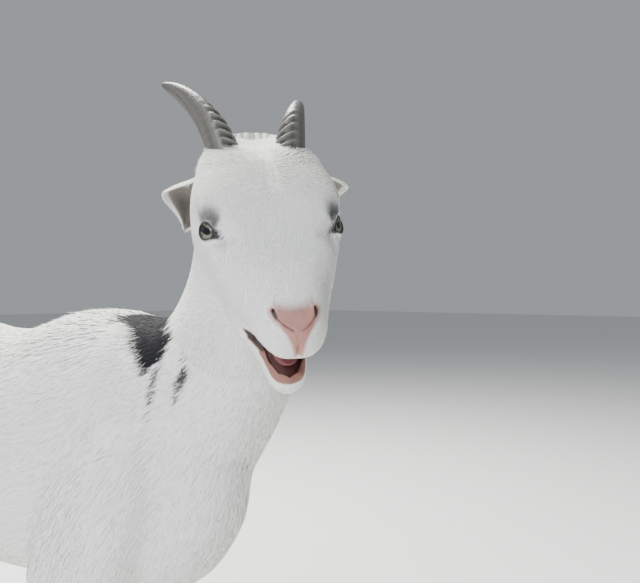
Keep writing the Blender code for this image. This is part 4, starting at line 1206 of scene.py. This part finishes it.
# Bare places: nose, lips and mouth, the eyes' openings, the soles' rims, the ear's hollow.
x, y, distance, facing, _ = eye_places(mirrored)
gap = np.where((distance < 0.03) & (facing > 0), lid_gap(x, y), 1.0)
keep &= ~((part == 0) & ((nose_distance(mirrored) < 0.0006) | (gap < 0.0022)))
slit_away = path_distance(mirrored, NOSTRIL)
keep &= slit_away > 0.0044
bare = skin_colour(root, normal, slit_away)
keep &= (part > 0) | (np.abs(bare - coat_colour(root)[0]).max(1) < 0.05)
keep &= (part != 1) | (ear_depth > 0)
edge = np.flatnonzero(keep & (part < 2))
keep[edge] = (over_skin(root[edge] + flow[edge] * length[edge, None])[1] * normal[edge]).sum(1) > 0.1
keep &= root[:, 2] > SOLE_RIM

coat_finish = finish("coat_finish", 0.75, Specular_IOR_Level=0.12)


def unwrap_of(name, chosen):
    """A place on an unwrap of the part's own shape: the turn round it, and the way along."""
    points, at_head = root[chosen], local[chosen]
    if name == "head":
        turn, along = np.arctan2(at_head[:, 0], at_head[:, 2] + 0.035), (at_head[:, 1] + 0.06) / 0.26
    elif name == "ear":
        turn = np.where(ear_depth[chosen] > 0, 0.25, 0.75) + 0.20 * ear_angle[chosen]
        return np.stack([turn, 0.05 + 0.85 * ear_t[chosen]], 1)
    elif name == "trunk":
        turn, along = np.arctan2(points[:, 0], points[:, 2] - 0.36), (points[:, 1] + 0.31) / 0.66
    else:
        spine = SPINES[PART_NAMES.index(name) - 2][1]
        step = np.linalg.norm(points[:, None] - spine[None], axis=2).argmin(1)
        x, y, z = (points - spine[step]).T
        turn, along = np.arctan2(x, y + 0.3 * z), step / SPINE_STEPS + 0.01
    return np.stack([0.5 + turn / (2 * np.pi) * 0.96, np.clip(along, 0, 1) * 0.96 + 0.02], 1)


def add_coat(name, chosen, part_name):
    """One piece of the coat, from the chosen roots, with each lock's size varied a little."""
    count = len(chosen)
    vary = RNG.normal(1.0, 1.0, (5, count)) - 1
    turned = flow[chosen] + 0.12 * vary[0][:, None] * np.cross(flow[chosen], normal[chosen])
    stray = RNG.random(count) < STRAYS * (part_name == "trunk")
    rows = blades(root[chosen], normal[chosen], unit_rows(turned),
                  length[chosen] * (1 + 0.18 * vary[1]).clip(0.5, 1.5),
                  np.radians(lift[chosen] * (1 + 0.25 * vary[2]).clip(0.4, 1.8)),
                  width[chosen] * (1 + 0.2 * vary[3]).clip(0.5, 1.6), relief[chosen],
                  np.maximum(loose[chosen], stray), (1 + 0.030 * vary[4]).clip(0.90, 1.08),
                  unwrap_of(part_name, chosen))
    piece = add_piece(name, coat_mesh(name, rows[0] + SHIFT, *rows[1:]), coat_finish)


# The most locks in one piece, and the share of the trunk's locks that stand loose.
MOST_LOCKS, STRAYS = 18500, 0.02
for index, part_name in enumerate(PART_NAMES):
    own = keep & (part == index)
    places = local if part_name in ("head", "ear") else root
    for side, sign in (("left", 1), ("right", -1)):
        chosen = np.flatnonzero(own & (places[:, 0] * sign > 0))
        if len(chosen) == 0:
            continue
        chosen = chosen[np.argsort(places[chosen, 1], kind="stable")]
        shares = np.array_split(chosen, -(-len(chosen) // MOST_LOCKS))
        base = part_name if part_name.endswith(("left", "right")) else part_name + "_" + side
        for number, some in enumerate(shares):
            add_coat("coat_" + base + ("_%d" % (number + 1) if len(shares) > 1 else ""), some, part_name)

# ---------------------------------------------------------------- floor, light, camera
# A plain pale floor, a large soft lamp behind and above, a cooler one in front, and a
# camera at the height of the goat's eyes.
bpy.ops.mesh.primitive_plane_add(size=30)
camera_data = bpy.data.cameras.new("camera")
camera = bpy.data.objects.new("camera", camera_data)
bpy.context.scene.collection.objects.link(camera)
CAMERA_AT, VIEW, SENSOR, LENS = (-0.408, -0.732, 0.519), math.radians(50), 36, 36 * 715 / 640
camera.location = np.array(CAMERA_AT) + SHIFT
camera.rotation_euler = Vector((math.sin(VIEW), math.cos(VIEW), 0)).to_track_quat("-Z", "Y").to_euler()
camera_data.sensor_width = SENSOR
camera_data.lens = LENS
camera_data.clip_start = 0.01
bpy.context.scene.camera = camera
world = bpy.data.worlds.new("studio")
world.use_nodes = True
world.node_tree.nodes["Background"].inputs["Color"].default_value = (0.62, 0.65, 0.68, 1)
world.node_tree.nodes["Background"].inputs["Strength"].default_value = 0.55
bpy.context.scene.world = world


def area_light(name, place, aim, size, power, colour):
    """A square soft box that faces a point."""
    data = bpy.data.lights.new(name, "AREA")
    data.size, data.energy, data.color = size, power, colour
    light = bpy.data.objects.new(name, data)
    light.location = place
    light.rotation_euler = (Vector(aim) - Vector(place)).to_track_quat("-Z", "Y").to_euler()
    bpy.context.scene.collection.objects.link(light)


area_light("key", (0.3, 0.9, 2.3), (0, 0, 0.45), 1.0, 180, (1.0, 0.98, 0.93))
area_light("fill", (-2.4, -0.9, 1.9), (0, -0.2, 0.45), 1.6, 95, (0.95, 0.98, 1.0))
